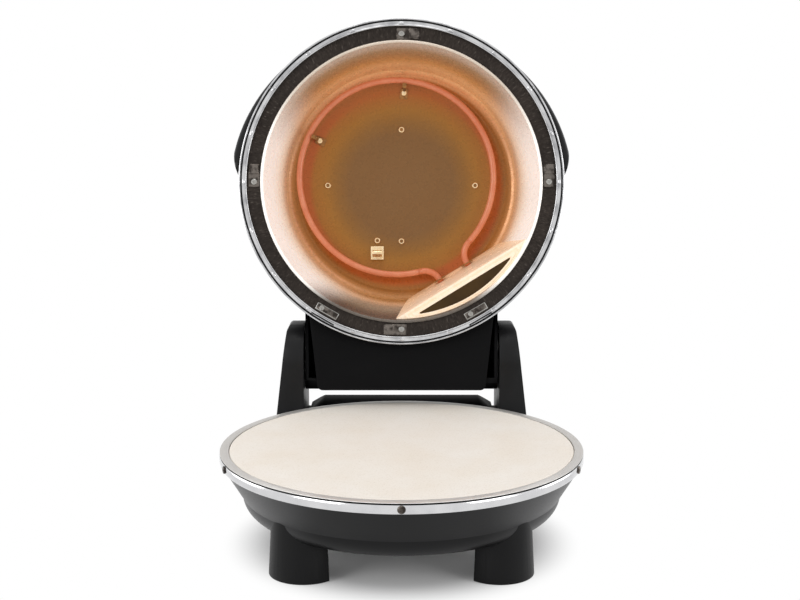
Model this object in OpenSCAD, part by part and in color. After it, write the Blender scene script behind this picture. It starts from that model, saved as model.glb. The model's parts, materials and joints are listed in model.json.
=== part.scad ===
// Electric pizza maker: round stone plate in a footed bowl, domed lid on two rear hinge arms.
// The table is z = 0 and the front faces -Y. The lid is drawn open, as it stands at rest.

/* [Stone] */
// Diameter of the baking stone
stone_d = 310; // [270:5:350]
// Thickness of the baking stone
stone_t = 13; // [10:0.5:16]
// Width of the metal rim round the stone
rim_w = 8.5; // [7:0.5:11]

/* [Base] */
// Height of the rim above the table
rim_h = 88.5; // [84:0.5:100]
// Height of the bowl's flat bottom above the table
bowl_bottom_h = 32.5; // [26:0.5:36]
// Radius of the bowl's rounded bottom edge
bowl_round = 17; // [13:0.5:19]
// How far the crease in the bowl lies inside the rim
bowl_crease_in = 20; // [16:0.5:24]
// Wall of the moulded bowl
bowl_wall = 2.5; // [2:0.1:3.5]
// Height of the chromed band on the base and on the lid
band_h = 7.5; // [6:0.5:10]
// Height of the dark groove over the base band
groove_h = 1.8; // [1.2:0.1:2.5]
// Radius of each foot where it meets the table
foot_r = 31; // [26:0.5:33]
// Radius of a foot at its top
foot_top_r = 28; // [23:0.5:30]
// How far the middle of each foot lies inside the rim
foot_in = 47.5; // [44:0.5:54]

/* [Hinge] */
// Distance of the hinge axis behind the rim
hinge_back = 13.5; // [12:0.5:18]
// Height of the hinge axis above the rim
hinge_rise = 45.5; // [42:0.5:50]
// Angle between the closed lid and the open stop
open_angle = 98; // [92:1:104]
// Radius of the rounded top of each arm
arm_round = 36; // [34.5:0.5:40]
// How far each arm's inner face lies inside the rim's side
arm_in_rim = 64; // [60:0.5:70]
// Thickness of each arm at its shoulder
arm_top_t = 18; // [16:0.5:24]
// How much thicker each arm is at its foot
arm_flare = 13; // [6:0.5:16]
// Radius of the hinge pins
pin_r = 5; // [4:0.25:6]

/* [Lid] */
// Height of the dome above the lid's rim
dome_h = 92; // [84:1:104]
// Radius of the dome's shoulder
dome_round = 62; // [54:1:68]
// Radius of the dome's crown
crown_r = 330; // [280:10:400]
// Sheet thickness of the dome
dome_t = 1.5; // [1:0.1:2.5]
// Gap between the two rims when the lid is closed
closed_gap = 1; // [0.6:0.1:2]
// Radial width of the lid's chromed band
lid_band_w = 8; // [6:0.5:10]
// How far the reflector's mouth lies inside the rim
dish_in = 23.5; // [22:0.5:36]
// Depth of the reflector
dish_h = 57; // [50:0.5:58]
// How far the reflector's wall leans in
dish_lean = 18.5; // [12:0.5:24]

/* [Heating elements] */
// Radius of the element tube
tube_r = 3.1; // [2.5:0.1:3.6]
// How far the upper element's loop lies inside the reflector's floor
upper_loop_in = 20.9; // [19.5:0.1:27]
// How far the lower element's loop lies inside the pan's floor
lower_loop_in = 21; // [15:0.5:40]
// Radius of the bends at the upper element's ends
end_bend_r = 18; // [15:0.5:20]
// Distance of the upper element from the reflector's floor
element_gap = 9; // [7:0.5:14]

/* [Controls] */
// Radius of the control knobs
knob_r = 17; // [13:0.5:20]
// Height of the control knobs
knob_h = 17; // [14:0.5:22]
// Distance of each knob from the middle
knob_offset = 36; // [32:0.5:42]
// Slope of the control panel
panel_slope = 15; // [10:1:18]

/* [Hidden] */

$fn = 96;
small = 0.01;
far = 400;
seat_gap = 0.3;
run_gap = 0.06;

// Driving radii and levels
rim_r = stone_d / 2 + rim_w;
band_top = rim_h - groove_h;
band_bottom = band_top - band_h;
crease_r = rim_r - bowl_crease_in;
crease_h = bowl_bottom_h + bowl_round;
bowl_flat_r = crease_r - bowl_round;
bowl_top_r = rim_r - 2;

// Hinge and lid placing
pivot_y = rim_r + hinge_back;
pivot_z = rim_h + hinge_rise;
lid_z = rim_h + closed_gap;
pivot_h = pivot_z - lid_z;
arm_in = rim_r - arm_in_rim;
foot_offset = (rim_r - foot_in) / sqrt(2);
neck_clear = 1.5;
neck_half = arm_in - neck_clear;
neck_r = arm_round - 2.5;
neck_under = 27;
cover_t = 3;
cover_under = neck_under + cover_t;
neck_corner = 9;
neck_slope = 12;
neck_top = neck_r - 0.3;
neck_spare = 3;
cover_back = neck_r + 0.5;
panel_y = 35.5 - rim_r;
panel_h = dome_h - 1;
panel_front = rim_r + 5;
plate_t = 0.8;
knob_lift = plate_t + 0.5;

// Depth of the part at rest, so that it stands centred on the origin
band_screw_h = 1.4;
knob_top = knob_h + knob_lift;
knob_top_y = panel_y - knob_top * sin(panel_slope);
knob_top_h = panel_h + knob_top * cos(panel_slope);
function open_y(y, h) = pivot_y + (y - pivot_y) * cos(open_angle) + (h - pivot_h) * sin(open_angle);
knob_reach = open_y(knob_top_y, knob_top_h) + (knob_r - 3) * cos(open_angle - panel_slope);
rear_reach = max(knob_reach, open_y(0, dome_h));
axis_y = (rim_r + band_screw_h - rear_reach) / 2;

module base_place() {
    translate([0, axis_y, 0]) children();
}

// Puts a piece that is drawn on the closed lid, from its rim plane up, where the open lid holds it
module lid_place() {
    translate([0, axis_y + pivot_y, pivot_z])
        rotate([-open_angle, 0, 0])
            translate([0, -pivot_y, -pivot_h]) children();
}

module ring(r_out, r_in, h) {
    difference() {
        cylinder(r = r_out, h = h);
        translate([0, 0, -1]) cylinder(r = r_in, h = h + 2);
    }
}

module round_rect(size, r) {
    translate([r, 0]) square([size.x - 2 * r, size.y]);
    translate([0, r]) square([size.x, size.y - 2 * r]);
    for (x = [r, size.x - r], y = [r, size.y - r]) translate([x, y]) circle(r);
}

// A side view (y to the right, z up) given its width along X
module across(w) {
    rotate([90, 0, 90]) translate([0, 0, -w / 2]) linear_extrude(w) children();
}

module pan_screw(r, h) {
    head_round = h * 0.45;
    rotate_extrude() {
        square([r - head_round, h]);
        square([r, h - head_round]);
        intersection() {
            translate([r - head_round, h - head_round]) circle(head_round, $fn = 24);
            square([r, h]);
        }
    }
}

// Base: bowl, band, rim and stone

// Half section of the bowl, drawn d inside its outer face
module bowl_section(d) {
    intersection() {
        union() {
            translate([bowl_flat_r, crease_h]) circle(bowl_round - d);
            polygon([[0, bowl_bottom_h + d], [bowl_flat_r, bowl_bottom_h + d], [bowl_flat_r, crease_h],
                [crease_r - d, crease_h], [bowl_top_r - d, band_bottom], [bowl_top_r - d, band_top],
                [0, band_top]]);
        }
        square([far, rim_h]);
    }
}

module bowl_solid() {
    rotate_extrude() bowl_section(0);
}

cover_hole_r = bowl_flat_r - 30.5;
cover_r = cover_hole_r + 8;
cover_t_steel = 1.2;

module base_bowl() {
    color("#2b2b2c") base_place() difference() {
        bowl_solid();
        difference() {
            rotate_extrude() bowl_section(bowl_wall);
            translate([0, 0, band_top - 2]) cylinder(r = far, h = 0.1);
        }
        translate([0, 0, band_top - 3]) cylinder(r = bowl_top_r - bowl_wall, h = 10);
        cylinder(r = cover_hole_r, h = rim_h);
        translate([0, rim_r - 20, crease_h + 14])
            rotate([-90, 0, 0]) cylinder(r = 9, h = 40);
    }
}

module base_band() {
    bulge = 0.6;
    color("#c9c9ca") base_place() rotate_extrude()
        polygon([[bowl_top_r + small, band_bottom], [rim_r - bulge, band_bottom],
            [rim_r, band_bottom + band_h * 0.25], [rim_r, band_bottom + band_h * 0.8],
            [rim_r - bulge, band_top], [bowl_top_r + small, band_top]]);
}

ring_t = 1;
ring_in = stone_d / 2 + 0.4;

module stone_ring() {
    lip = 0.9;
    color("#b5b2af") base_place() rotate_extrude() {
        translate([ring_in, rim_h - ring_t]) square([rim_r - lip - ring_in, ring_t]);
        translate([rim_r - lip, rim_h - lip]) circle(lip, $fn = 24);
        translate([bowl_top_r - bowl_wall, band_top]) square([bowl_wall, rim_h - ring_t / 2 - band_top]);
    }
}

module pizza_stone() {
    edge = 1.5;
    color("#f3ece6") base_place() translate([0, 0, rim_h - stone_t]) rotate_extrude()
        polygon([[0, 0], [stone_d / 2 - edge, 0], [stone_d / 2, edge], [stone_d / 2, stone_t - edge],
            [stone_d / 2 - edge, stone_t], [0, stone_t]]);
}

pan_t = 1;
pan_floor = bowl_bottom_h + 19;
pan_ledge_in = 7;
pan_seat = rim_h - stone_t - seat_gap;
pan_clear = 8;
pan_floor_r = crease_r - bowl_wall - pan_clear;
lower_loop_r = pan_floor_r - lower_loop_in;

module lower_pan() {
    leg_hole = tube_r + 0.6;
    color("#c4c1bb") base_place() difference() {
        rotate_extrude() polygon([[0, pan_floor], [pan_floor_r, pan_floor],
            [stone_d / 2 - pan_ledge_in, pan_seat - pan_t], [ring_in, pan_seat - pan_t],
            [ring_in, rim_h - ring_t], [ring_in - 0.4 + small, rim_h - ring_t],
            [ring_in - 0.4 + small, pan_seat], [stone_d / 2 - pan_ledge_in - 0.6, pan_seat],
            [pan_floor_r - 0.6, pan_floor + pan_t], [0, pan_floor + pan_t]]);
        for (i = [0, 1]) translate(lower_end(i)) rotate(lower_turn(i)) translate([lower_bend_r, 0, 0])
            cylinder(r = leg_hole, h = rim_h);
    }
}

// Least distance between the lower tube and the stone. The room between the pan's floor and the stone
// is shared out between this gap and the one under the tube
stone_gap = 7.8;
lower_room = rim_h - stone_t - pan_floor - pan_t - 2 * tube_r;
lower_gap = lower_room * element_gap / (element_gap + stone_gap);
lower_tube_h = pan_floor + pan_t + lower_gap + tube_r;
lower_leg_half = 8;
lower_bend_r = 8;
shield_h = pan_floor - 8;

// Where the lower loop ends on each side of the gap, and the way its bends turn
function lower_end(i) = let (a = 90 + (2 * i - 1) * lower_leg_half) lower_loop_r * [cos(a), sin(a), 0];
function lower_turn(i) = i == 0 ? 180 - lower_leg_half : lower_leg_half;

// Swaged joint between two stretches of the tube, along X
module tube_collar() {
    collar_l = 1.4;
    rotate([0, 90, 0]) cylinder(r = tube_r + 0.06, h = collar_l, center = true);
}

module lower_element() {
    leg_top = lower_tube_h - lower_bend_r;
    color("#5a5552") base_place() {
        rotate([0, 0, 90 + lower_leg_half]) translate([0, 0, lower_tube_h])
            rotate_extrude(angle = 360 - 2 * lower_leg_half) translate([lower_loop_r, 0]) circle(tube_r);
        for (i = [0, 1]) translate(lower_end(i)) rotate(lower_turn(i)) {
            translate([0, 0, leg_top]) rotate([90, 0, 0]) rotate_extrude(angle = 90)
                translate([lower_bend_r, 0]) circle(tube_r);
            translate([lower_bend_r, 0, shield_h + 2]) cylinder(r = tube_r, h = leg_top - shield_h - 2);
            translate([0, 0, lower_tube_h]) tube_collar();
            translate([lower_bend_r, 0, leg_top]) rotate([0, 90, 0]) tube_collar();
        }
    }
}

module lower_element_clips() {
    clip_w = 10;
    clip_t = 1;
    foot_l = 14;
    clasp_r = tube_r + 0.2 + clip_t;
    color("#a9a7a3") base_place() for (a = [0, 135, 225]) rotate(a)
        translate([lower_loop_r, 0, pan_floor + pan_t]) {
            translate([-tube_r - foot_l, -clip_w / 2, 0]) cube([foot_l, clip_w, clip_t]);
            translate([-clasp_r - 0.1, -clip_w / 2, 0]) cube([clip_t, clip_w, lower_gap + tube_r]);
            translate([0, 0, lower_gap + tube_r]) rotate([90, 0, 0]) translate([0, 0, -clip_w / 2])
                difference() {
                    ring(clasp_r + 0.1, clasp_r - clip_t, clip_w);
                    translate([-far, -far, -1]) cube([2 * far, far, clip_w + 2]);
                }
        }
}

shield_r = lower_loop_r - 24;

module heat_shield() {
    color("#b8b6b2") base_place() translate([0, 0, shield_h]) difference() {
        rotate_extrude() {
            square([shield_r, 1]);
            translate([shield_r - 1, -5]) square([1, 5]);
        }
        translate([0, 0, -1]) cylinder(r = cutout_r + 3, h = 4);
    }
}

module shield_spacers() {
    color("#8f8d89") base_place() for (a = [60 : 120 : 300]) rotate(a)
        translate([shield_r - 14, 0, shield_h + 1]) ring(4, 2, pan_floor - shield_h - 1);
}

cutout_r = 8;

module thermal_cutout() {
    body_h = 9;
    ear_l = 5;
    ear_w = 6;
    blade = [4.8, 0.8, 7];
    blade_x = 4;
    color("#d8d2c4") base_place() translate([0, 0, pan_floor - body_h]) {
        cylinder(r = cutout_r, h = body_h - 1);
        translate([0, 0, body_h - 2]) linear_extrude(2) {
            circle(cutout_r - 1);
            translate([-cutout_r - ear_l, -ear_w / 2]) square([2 * (cutout_r + ear_l), ear_w]);
        }
        for (x = [-blade_x, blade_x]) translate([x - blade.x / 2, -blade.y / 2, -blade.z]) cube(blade);
    }
}

module bottom_cover() {
    slot_r = 2;
    slot_l = 22;
    color("#3a3a3b") base_place() translate([0, 0, bowl_bottom_h - cover_t_steel]) difference() {
        union() {
            cylinder(r = cover_r, h = cover_t_steel);
            ring(cover_hole_r - 0.3, cover_hole_r - 1.5, cover_t_steel + 3);
        }
        for (a = [0 : 15 : 345]) rotate(a) translate([cover_r / 2, 0, -1]) linear_extrude(8) {
            translate([0, -slot_r]) square([slot_l, 2 * slot_r]);
            for (x = [0, slot_l]) translate([x, 0]) circle(slot_r);
        }
    }
}

module bottom_screws() {
    color("#9a9a9a") base_place() for (a = [22.5 : 45 : 360]) rotate(a)
        translate([cover_hole_r + 4, 0, bowl_bottom_h - cover_t_steel]) mirror([0, 0, 1]) pan_screw(3.4, 1.8);
}

// Feet

pad_t = 2;
pad_proud = 0.8;
foot_wall = 3;
foot_top = crease_h + 3;

// D-shaped plan, flat side towards the middle of the bowl, half-round side outwards
module foot_cone(d, z0, z1) {
    taper = (foot_top_r - foot_r) / foot_top;
    intersection() {
        translate([0, 0, z0]) cylinder(r1 = foot_r + taper * z0 - d, r2 = foot_r + taper * z1 - d, h = z1 - z0);
        translate([d, -far, 0]) cube([far, 2 * far, far]);
    }
}

module foot_at(x, y) {
    base_place() translate([x * foot_offset, y * foot_offset, 0]) rotate(atan2(y, x)) children();
}

module foot(x, y) {
    color("#242425") difference() {
        foot_at(x, y) difference() {
            foot_cone(0, pad_proud, foot_top);
            foot_cone(foot_wall, 0, bowl_bottom_h - foot_wall);
        }
        base_place() bowl_solid();
    }
}

module front_left_foot() { foot(-1, -1); }
module front_right_foot() { foot(1, -1); }
module rear_left_foot() { foot(-1, 1); }
module rear_right_foot() { foot(1, 1); }

module foot_pads() {
    color("#1b1b1b") for (x = [-1, 1], y = [-1, 1]) foot_at(x, y)
        foot_cone(foot_wall + seat_gap, 0, pad_proud + pad_t);
}

module base_band_screws() {
    side_turn = 68.5;
    head_r = 3.4;
    color("#8d8d8e") base_place() for (i = [-2 : 2]) rotate(i * side_turn - 90)
        translate([rim_r, 0, band_bottom + band_h * 0.55]) rotate([0, 90, 0]) pan_screw(head_r, band_screw_h);
}

// Rear housing and arms

housing_top = rim_h - 2.5;
housing_bottom = crease_h + 4.5;
housing_back = pivot_y + 28;
housing_half = arm_in - 4;
housing_wall = 2.5;
housing_front = rim_r + 1.5;
corner_run = 15;
corner_drop = 9;
toe_front = rim_r * 0.47;
toe_top = band_bottom - 1.5;
toe_bottom = band_bottom - 15;

module housing_side(d) {
    round_h = 12 - d;
    polygon([[toe_front, toe_bottom + d], [pivot_y, housing_bottom + d], [housing_back - 12, housing_bottom + d],
        [housing_back - d, housing_bottom + 12], [housing_back - d, housing_top - 6],
        [housing_back - 6, housing_top - d], [housing_front + d, housing_top - d],
        [housing_front + d, toe_top - d], [toe_front, toe_top - d]]);
    translate([housing_back - 12, housing_bottom + 12]) circle(round_h);
    translate([housing_back - 6, housing_top - 6]) circle(6 - d);
}

module housing_front_view(d) {
    w = housing_half - d;
    wide = arm_in - d;
    step_h = housing_top - corner_drop - 4;
    polygon([[-wide, 0], [wide, 0], [wide, step_h - d], [w, step_h - d], [w, housing_top - corner_drop - d],
        [w - corner_run, housing_top - d], [corner_run - w, housing_top - d],
        [-w, housing_top - corner_drop - d], [-w, step_h - d], [-wide, step_h - d]]);
}

module housing_solid(d) {
    intersection() {
        across(2 * arm_in) housing_side(d);
        rotate([90, 0, 0]) translate([0, 0, -far]) linear_extrude(far) housing_front_view(d);
    }
}

grommet_h = housing_bottom + 14;

module rear_housing() {
    color("#38383a") base_place() difference() {
        housing_solid(0);
        difference() {
            housing_solid(housing_wall);
            for (x = [-60, 0, 60]) translate([x - 1, 0, 0]) cube([2, far, rim_h]);
        }
        bowl_solid();
        translate([0, housing_back - 6, grommet_h]) rotate([-90, 0, 0]) cylinder(r = grommet_r, h = 20);
    }
}

grommet_r = 7;

module cord_grommet() {
    flange = 2;
    color("#1c1c1d") base_place() translate([0, housing_back, grommet_h]) rotate([-90, 0, 0]) {
        difference() {
            union() {
                cylinder(r = grommet_r + 3, h = flange);
                translate([0, 0, -5]) cylinder(r = grommet_r - 0.1, h = 5);
            }
            translate([0, 0, -6]) cylinder(r = 4, h = 20);
        }
    }
}

module terminal_block() {
    block = [34, 16, 12];
    pole_pitch = 11;
    pole_depth = 5;
    color("#e4dfd3") base_place()
        translate([12, pivot_y - 1, housing_bottom + housing_wall + seat_gap]) difference() {
            cube(block);
            for (i = [-1 : 1]) translate([block.x / 2 + i * pole_pitch, block.y / 2, block.z - pole_depth])
                cylinder(r = 2.5, h = pole_depth + 1);
        }
}

arm_front = pivot_y - arm_round + 0.5;
arm_back = pivot_y + arm_round;

module arm_side() {
    heel = 18;
    translate([pivot_y, pivot_z]) circle(arm_round);
    polygon([[arm_front, pivot_z], [arm_front, toe_top], [toe_front, toe_top], [toe_front, toe_bottom],
        [pivot_y, housing_bottom], [arm_back - heel, housing_bottom],
        [arm_back - heel, housing_bottom + heel], [arm_back, housing_bottom + heel], [arm_back, pivot_z]]);
    translate([arm_back - heel, housing_bottom + heel]) circle(heel);
}

module arm_front_view() {
    shoulder = 9;
    top = pivot_z + arm_round;
    out_top = arm_in + arm_top_t;
    out_low = out_top + arm_flare;
    shoulder_z = top - shoulder;
    polygon([[arm_in, housing_bottom], [out_low, housing_bottom], [out_top, shoulder_z],
        [out_top - shoulder, shoulder_z], [out_top - shoulder, top], [arm_in, top]]);
    translate([out_top - shoulder, shoulder_z]) circle(shoulder);
}

pin_in = neck_half - 15;
pin_out = arm_in + 12;
pin_head_r = pin_r + 3.5;

module arm() {
    difference() {
        union() {
            intersection() {
                across(2 * far) arm_side();
                rotate([90, 0, 0]) translate([0, 0, -far]) linear_extrude(far) arm_front_view();
            }
            arm_stop();
        }
        bowl_solid();
        translate([0, pivot_y, pivot_z]) rotate([0, 90, 0]) {
            cylinder(r = pin_r + run_gap, h = far);
            translate([0, 0, pin_out]) cylinder(r = pin_head_r + 1, h = far);
        }
    }
}

// Lug on the arm that the neck's upper face meets when the lid is fully open
module arm_stop() {
    lug = [8, 9, 3.5];
    lug_start = 5;
    translate([arm_in - lug.x, pivot_y, pivot_z]) rotate([neck_slope - open_angle, 0, 0])
        translate([0, -lug.y - lug_start, neck_top + seat_gap]) cube([lug.x + 2, lug.y, lug.z]);
}

module right_arm() { color("#2a2a2b") base_place() arm(); }
module left_arm() { color("#2a2a2b") base_place() mirror([1, 0, 0]) arm(); }

module hinge_pin() {
    pin_l = pin_out - pin_in;
    head_h = 3;
    translate([pin_in, pivot_y, pivot_z]) rotate([0, 90, 0]) {
        cylinder(r = pin_r, h = pin_l);
        translate([0, 0, pin_l]) cylinder(r = pin_head_r, h = head_h);
    }
}

module right_hinge_pin() { color("#b9b9bb") base_place() hinge_pin(); }
module left_hinge_pin() { color("#b9b9bb") base_place() mirror([1, 0, 0]) hinge_pin(); }

// Lid: dome, band, ring and reflector

dome_r = rim_r - 3;
shoulder_x = dome_r - dome_round;
crown_z = dome_h - crown_r;
shoulder_z = crown_z + sqrt(pow(crown_r - dome_round, 2) - pow(shoulder_x, 2));
crown_a = asin(shoulder_x / (crown_r - dome_round));

// Half section of the dome, drawn d inside its outer face: crown, shoulder and straight skirt
module dome_section(d) {
    round_r = dome_round - d;
    intersection() {
        union() {
            translate([shoulder_x, shoulder_z]) circle(round_r);
            intersection() {
                translate([0, crown_z]) circle(crown_r - d, $fn = 360);
                polygon([[0, crown_z], [far * sin(crown_a), crown_z + far * cos(crown_a)], [0, far]]);
            }
            polygon([[0, 0], [dome_r - d, 0], [dome_r - d, shoulder_z], [shoulder_x, shoulder_z],
                [shoulder_x + round_r * sin(crown_a), shoulder_z + round_r * cos(crown_a)],
                [0, crown_z + crown_r * 0.9]]);
        }
        square(far);
    }
}

// The room that pieces seated on the dome leave for it
module dome_seat() {
    crown_steps = 8;
    round_steps = 16;
    seat_r = crown_r + seat_gap;
    round_r = dome_round + seat_gap;
    crown = [for (i = [0 : crown_steps]) let (a = crown_a * i / crown_steps)
        [seat_r * sin(a), crown_z + seat_r * cos(a)]];
    shoulder = [for (i = [1 : round_steps]) let (a = crown_a + (90 - crown_a) * i / round_steps)
        [shoulder_x + round_r * sin(a), shoulder_z + round_r * cos(a)]];
    rotate_extrude() polygon(concat(crown, shoulder, [[dome_r + seat_gap, -1], [0, -1]]));
}

module dome_solid(d) {
    rotate_extrude() dome_section(d);
}

lid_skirt = 2.9;

module lid_dome() {
    color("#1f1f20") lid_place() difference() {
        dome_solid(0);
        difference() {
            dome_solid(dome_t);
            translate([0, 0, -small]) cylinder(r = far, h = small);
        }
        translate([0, 0, -1]) cylinder(r = far, h = 1 + lid_skirt);
    }
}

// Rolled band: outer lip, groove, stepped face and inner lip, with pressed dimples that hold the ring
module lid_band() {
    bulge = 0.5;
    lip_w = 1.7;
    groove_w = 1.3;
    face_h = 0.7;
    floor_h = 1.9;
    inside = rim_r - lid_band_w;
    groove_out = rim_r - lip_w;
    groove_in = groove_out - groove_w;
    dimple_r = 1.5;
    slot = [1.5, 26];
    color("#d2d2d3") lid_place() difference() {
        union() {
            rotate_extrude() polygon([[inside, 0.4], [inside + 0.5, 0], [inside + 1.2, 0], [inside + 1.7, face_h],
                [groove_in - 0.4, face_h], [groove_in, floor_h], [groove_out, floor_h],
                [groove_out, 0.5], [groove_out + 0.4, 0], [rim_r - 0.6, 0], [rim_r, 0.8],
                [rim_r, band_h * 0.8], [rim_r - bulge, band_h], [dome_r + small, band_h],
                [dome_r + small, lid_skirt - small], [inside + 1, lid_skirt - small], [inside + 1, inner_ring_h],
                [inside, inner_ring_h]]);
            for (a = [0 : 18 : 342]) rotate(a) translate([groove_in - dimple_r - 0.6, 0, 0.05])
                cylinder(r1 = dimple_r * 0.6, r2 = dimple_r, h = face_h);
        }
        for (a = plate_angles) rotate(a) translate([groove_in - slot.x - 1, -slot.y / 2, -1])
            cube([slot.x, slot.y, floor_h + 3]);
    }
}

inner_ring_h = 5;
inner_ring_t = 1.2;

module lid_inner_ring() {
    color("#3b332e") lid_place() translate([0, 0, inner_ring_h])
        ring(dome_r - dome_t - 0.2, dish_r + 0.4, inner_ring_t);
}

dish_round = 8;
dish_t = 0.9;
dish_r = rim_r - dish_in;
dish_floor_r = dish_r - dish_lean;
dish_corner = [dish_floor_r - dish_round, dish_h - dish_round];
wall_angle = atan2(dish_lean, dish_h - dish_round);

// Half section of the space in the reflector, drawn d outside the sheet's inner face
module dish_section(d) {
    r = dish_round + d;
    intersection() {
        union() {
            polygon([[0, 0], [dish_r + d, 0],
                [dish_corner.x + r * cos(wall_angle), dish_corner.y + r * sin(wall_angle)],
                dish_corner, [dish_corner.x, dish_h + d], [0, dish_h + d]]);
            translate(dish_corner) circle(r, $fn = 64);
        }
        square(far);
    }
}

rim_bead_r = 1.6;

module lid_reflector() {
    color("#efe6d8") lid_place() difference() {
        rotate_extrude() {
            difference() {
                dish_section(dish_t);
                dish_section(0);
            }
            translate([dish_r + 0.2, rim_bead_r]) circle(rim_bead_r, $fn = 24);
            translate([dish_radius(inner_ring_h + inner_ring_t), inner_ring_h + inner_ring_t]) square([10, 1]);
        }
        translate([0, 0, -1]) cylinder(r = dish_r - 1.2, h = rim_bead_r * 1.2);
    }
}

// The terminal shield cuts a chord across the rear right of the reflector
shield_angle = 58.5;
shield_foot = dish_floor_r - 16.8;
shield_top = dish_r - 25.5;
shelf_h = 5;

function dish_radius(h) = dish_r - dish_lean * min(1, h / (dish_h - dish_round));

// Plan of the shelf inside its straight edge and its arc
module shelf_plan(edge_in, arc_in) {
    half = sqrt(pow(dish_radius(shelf_h), 2) - pow(shield_top, 2)) - 9 - 2 * edge_in;
    intersection() {
        circle(dish_radius(shelf_h) - arc_in);
        translate([shield_top + edge_in, -half]) square([far, 2 * half]);
    }
}

module terminal_shield() {
    t = 1;
    bead_h = 1.2;
    wall_in = 0.3;
    color("#d9cbb6") lid_place() difference() {
        intersection() {
            rotate_extrude() dish_section(-wall_in);
            rotate(shield_angle) rotate([90, 0, 0]) translate([0, 0, -far]) linear_extrude(2 * far)
                polygon([[shield_foot, dish_h], [shield_top, shelf_h], [far, shelf_h], [far, shelf_h + t],
                    [shield_top + t, shelf_h + t], [shield_foot + t, dish_h]]);
        }
        for (a = [0, 1]) translate(shield_entry(a)) rotate(shield_angle) rotate([0, 90, 0])
            translate([0, 0, -10]) cylinder(r = tube_r + 0.5, h = 30);
    }
    color("#d9cbb6") lid_place() rotate(shield_angle) translate([0, 0, shelf_h - bead_h])
        linear_extrude(bead_h + t / 2) {
            difference() {
                shelf_plan(0.6, 0.8);
                shelf_plan(2, 1.8);
            }
            difference() {
                shelf_plan(4.2, 2.6);
                shelf_plan(6.9, 4);
            }
        }
}

// Upper element: one loop whose two ends bend out into the terminal shield
upper_loop_r = dish_floor_r - upper_loop_in;
loop_x = -5.2;
loop_y = -7.5;
tube_h = dish_h - element_gap - tube_r;
end_a = 41.9;
end_b = 75.7;

function loop_point(a) = [loop_x + upper_loop_r * cos(a), loop_y + upper_loop_r * sin(a), tube_h];
function bend_centre(i) = loop_point(i == 0 ? end_a : end_b)
    + end_bend_r * [cos(i == 0 ? end_a : end_b), sin(i == 0 ? end_a : end_b), 0];
function bend_end(i) = bend_centre(i)
    + end_bend_r * [cos(shield_angle + (i == 0 ? 90 : -90)), sin(shield_angle + (i == 0 ? 90 : -90)), 0];
function shield_entry(i) = bend_end(i) + 6 * [cos(shield_angle), sin(shield_angle), 0];

module tube_bend(r, from, to) {
    rotate(from) rotate_extrude(angle = to - from) translate([r, 0]) circle(tube_r, $fn = 32);
}

module upper_element() {
    tail = 12;
    color("#d9764f") lid_place() {
        translate([loop_x, loop_y, tube_h]) tube_bend(upper_loop_r, end_b, end_a + 360);
        translate(bend_centre(0)) tube_bend(end_bend_r, shield_angle + 90, end_a + 180);
        translate(bend_centre(1)) tube_bend(end_bend_r, end_b + 180, shield_angle + 270);
        for (i = [0, 1]) {
            translate(bend_end(i)) rotate(shield_angle) rotate([0, 90, 0])
                cylinder(r = tube_r, h = tail, $fn = 32);
            translate(bend_end(i)) rotate(shield_angle) tube_collar();
            translate(loop_point(i == 0 ? end_a : end_b)) rotate((i == 0 ? end_a : end_b) + 90) tube_collar();
        }
    }
}

module element_end_clips() {
    clip = [1.2, 13, 10];
    clip_out = 6.3;
    color("#8a8077") lid_place() for (i = [0, 1]) translate(shield_entry(i)) rotate(shield_angle)
        translate([-clip_out, 0, 0]) difference() {
            translate([0, -clip.y / 2, -clip.z / 2]) cube(clip);
            translate([-1, 0, 0]) rotate([0, 90, 0]) cylinder(r = tube_r + 0.3, h = 4);
        }
}

support_angles = [-85, -154];
support_in = 11.5;
function support_point(a) = [loop_x, loop_y, 0] + (upper_loop_r - support_in) * [cos(a), sin(a), 0];

module element_supports() {
    strip_w = 8;
    strip_t = 1;
    strip_l = 10.3;
    fold_x = 4.3;
    toe_l = 5;
    drop = element_gap + 2 * tube_r + 1.2;
    color("#b59a72") lid_place() for (a = support_angles)
        translate(support_point(a)) translate([0, 0, dish_h]) rotate(a) {
            translate([fold_x - strip_l, -strip_w / 2, -strip_t]) cube([strip_l, strip_w, strip_t - small]);
            translate([fold_x - strip_t, -strip_w / 4, -drop]) cube([strip_t, strip_w / 2, drop - small]);
            translate([fold_x - strip_t, -strip_w / 4, -drop - strip_t]) cube([toe_l, strip_w / 2, strip_t]);
        }
}

screw_far = dish_floor_r * 0.634;
screw_near = dish_floor_r * 0.48;
sensor_x = dish_floor_r * -0.265;
sensor_y = dish_floor_r * 0.524;
reflector_screw_points = [[0, -screw_near], [-screw_far, 0], [screw_far, 0], [0, screw_near],
    [sensor_x + 6.9, sensor_y - 6.1]];

module reflector_screws() {
    color("#c9a777") lid_place() {
        for (p = reflector_screw_points) translate([p.x, p.y, dish_h - small])
            mirror([0, 0, 1]) pan_screw(3.3, 2.2);
        for (a = support_angles) translate(support_point(a)) translate([0, 0, dish_h - 1])
            mirror([0, 0, 1]) pan_screw(3, 2);
    }
}

module thermostat_sensor() {
    tab = [13.5, 14, 1.2];
    bulb_r = 3;
    bulb_l = 10;
    color("#c8a273") lid_place() {
        translate([sensor_x, sensor_y, dish_h]) {
            translate([0, 0, -tab.z]) cube([tab.x, tab.y, tab.z - small]);
            translate([0, tab.y - tab.z, -4]) cube([tab.x, tab.z, 4 - small]);
            translate([(tab.x - bulb_l) / 2, tab.y / 2, -1.4 - bulb_r]) rotate([0, 90, 0])
                cylinder(r = bulb_r, h = bulb_l);
        }
    }
}

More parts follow.
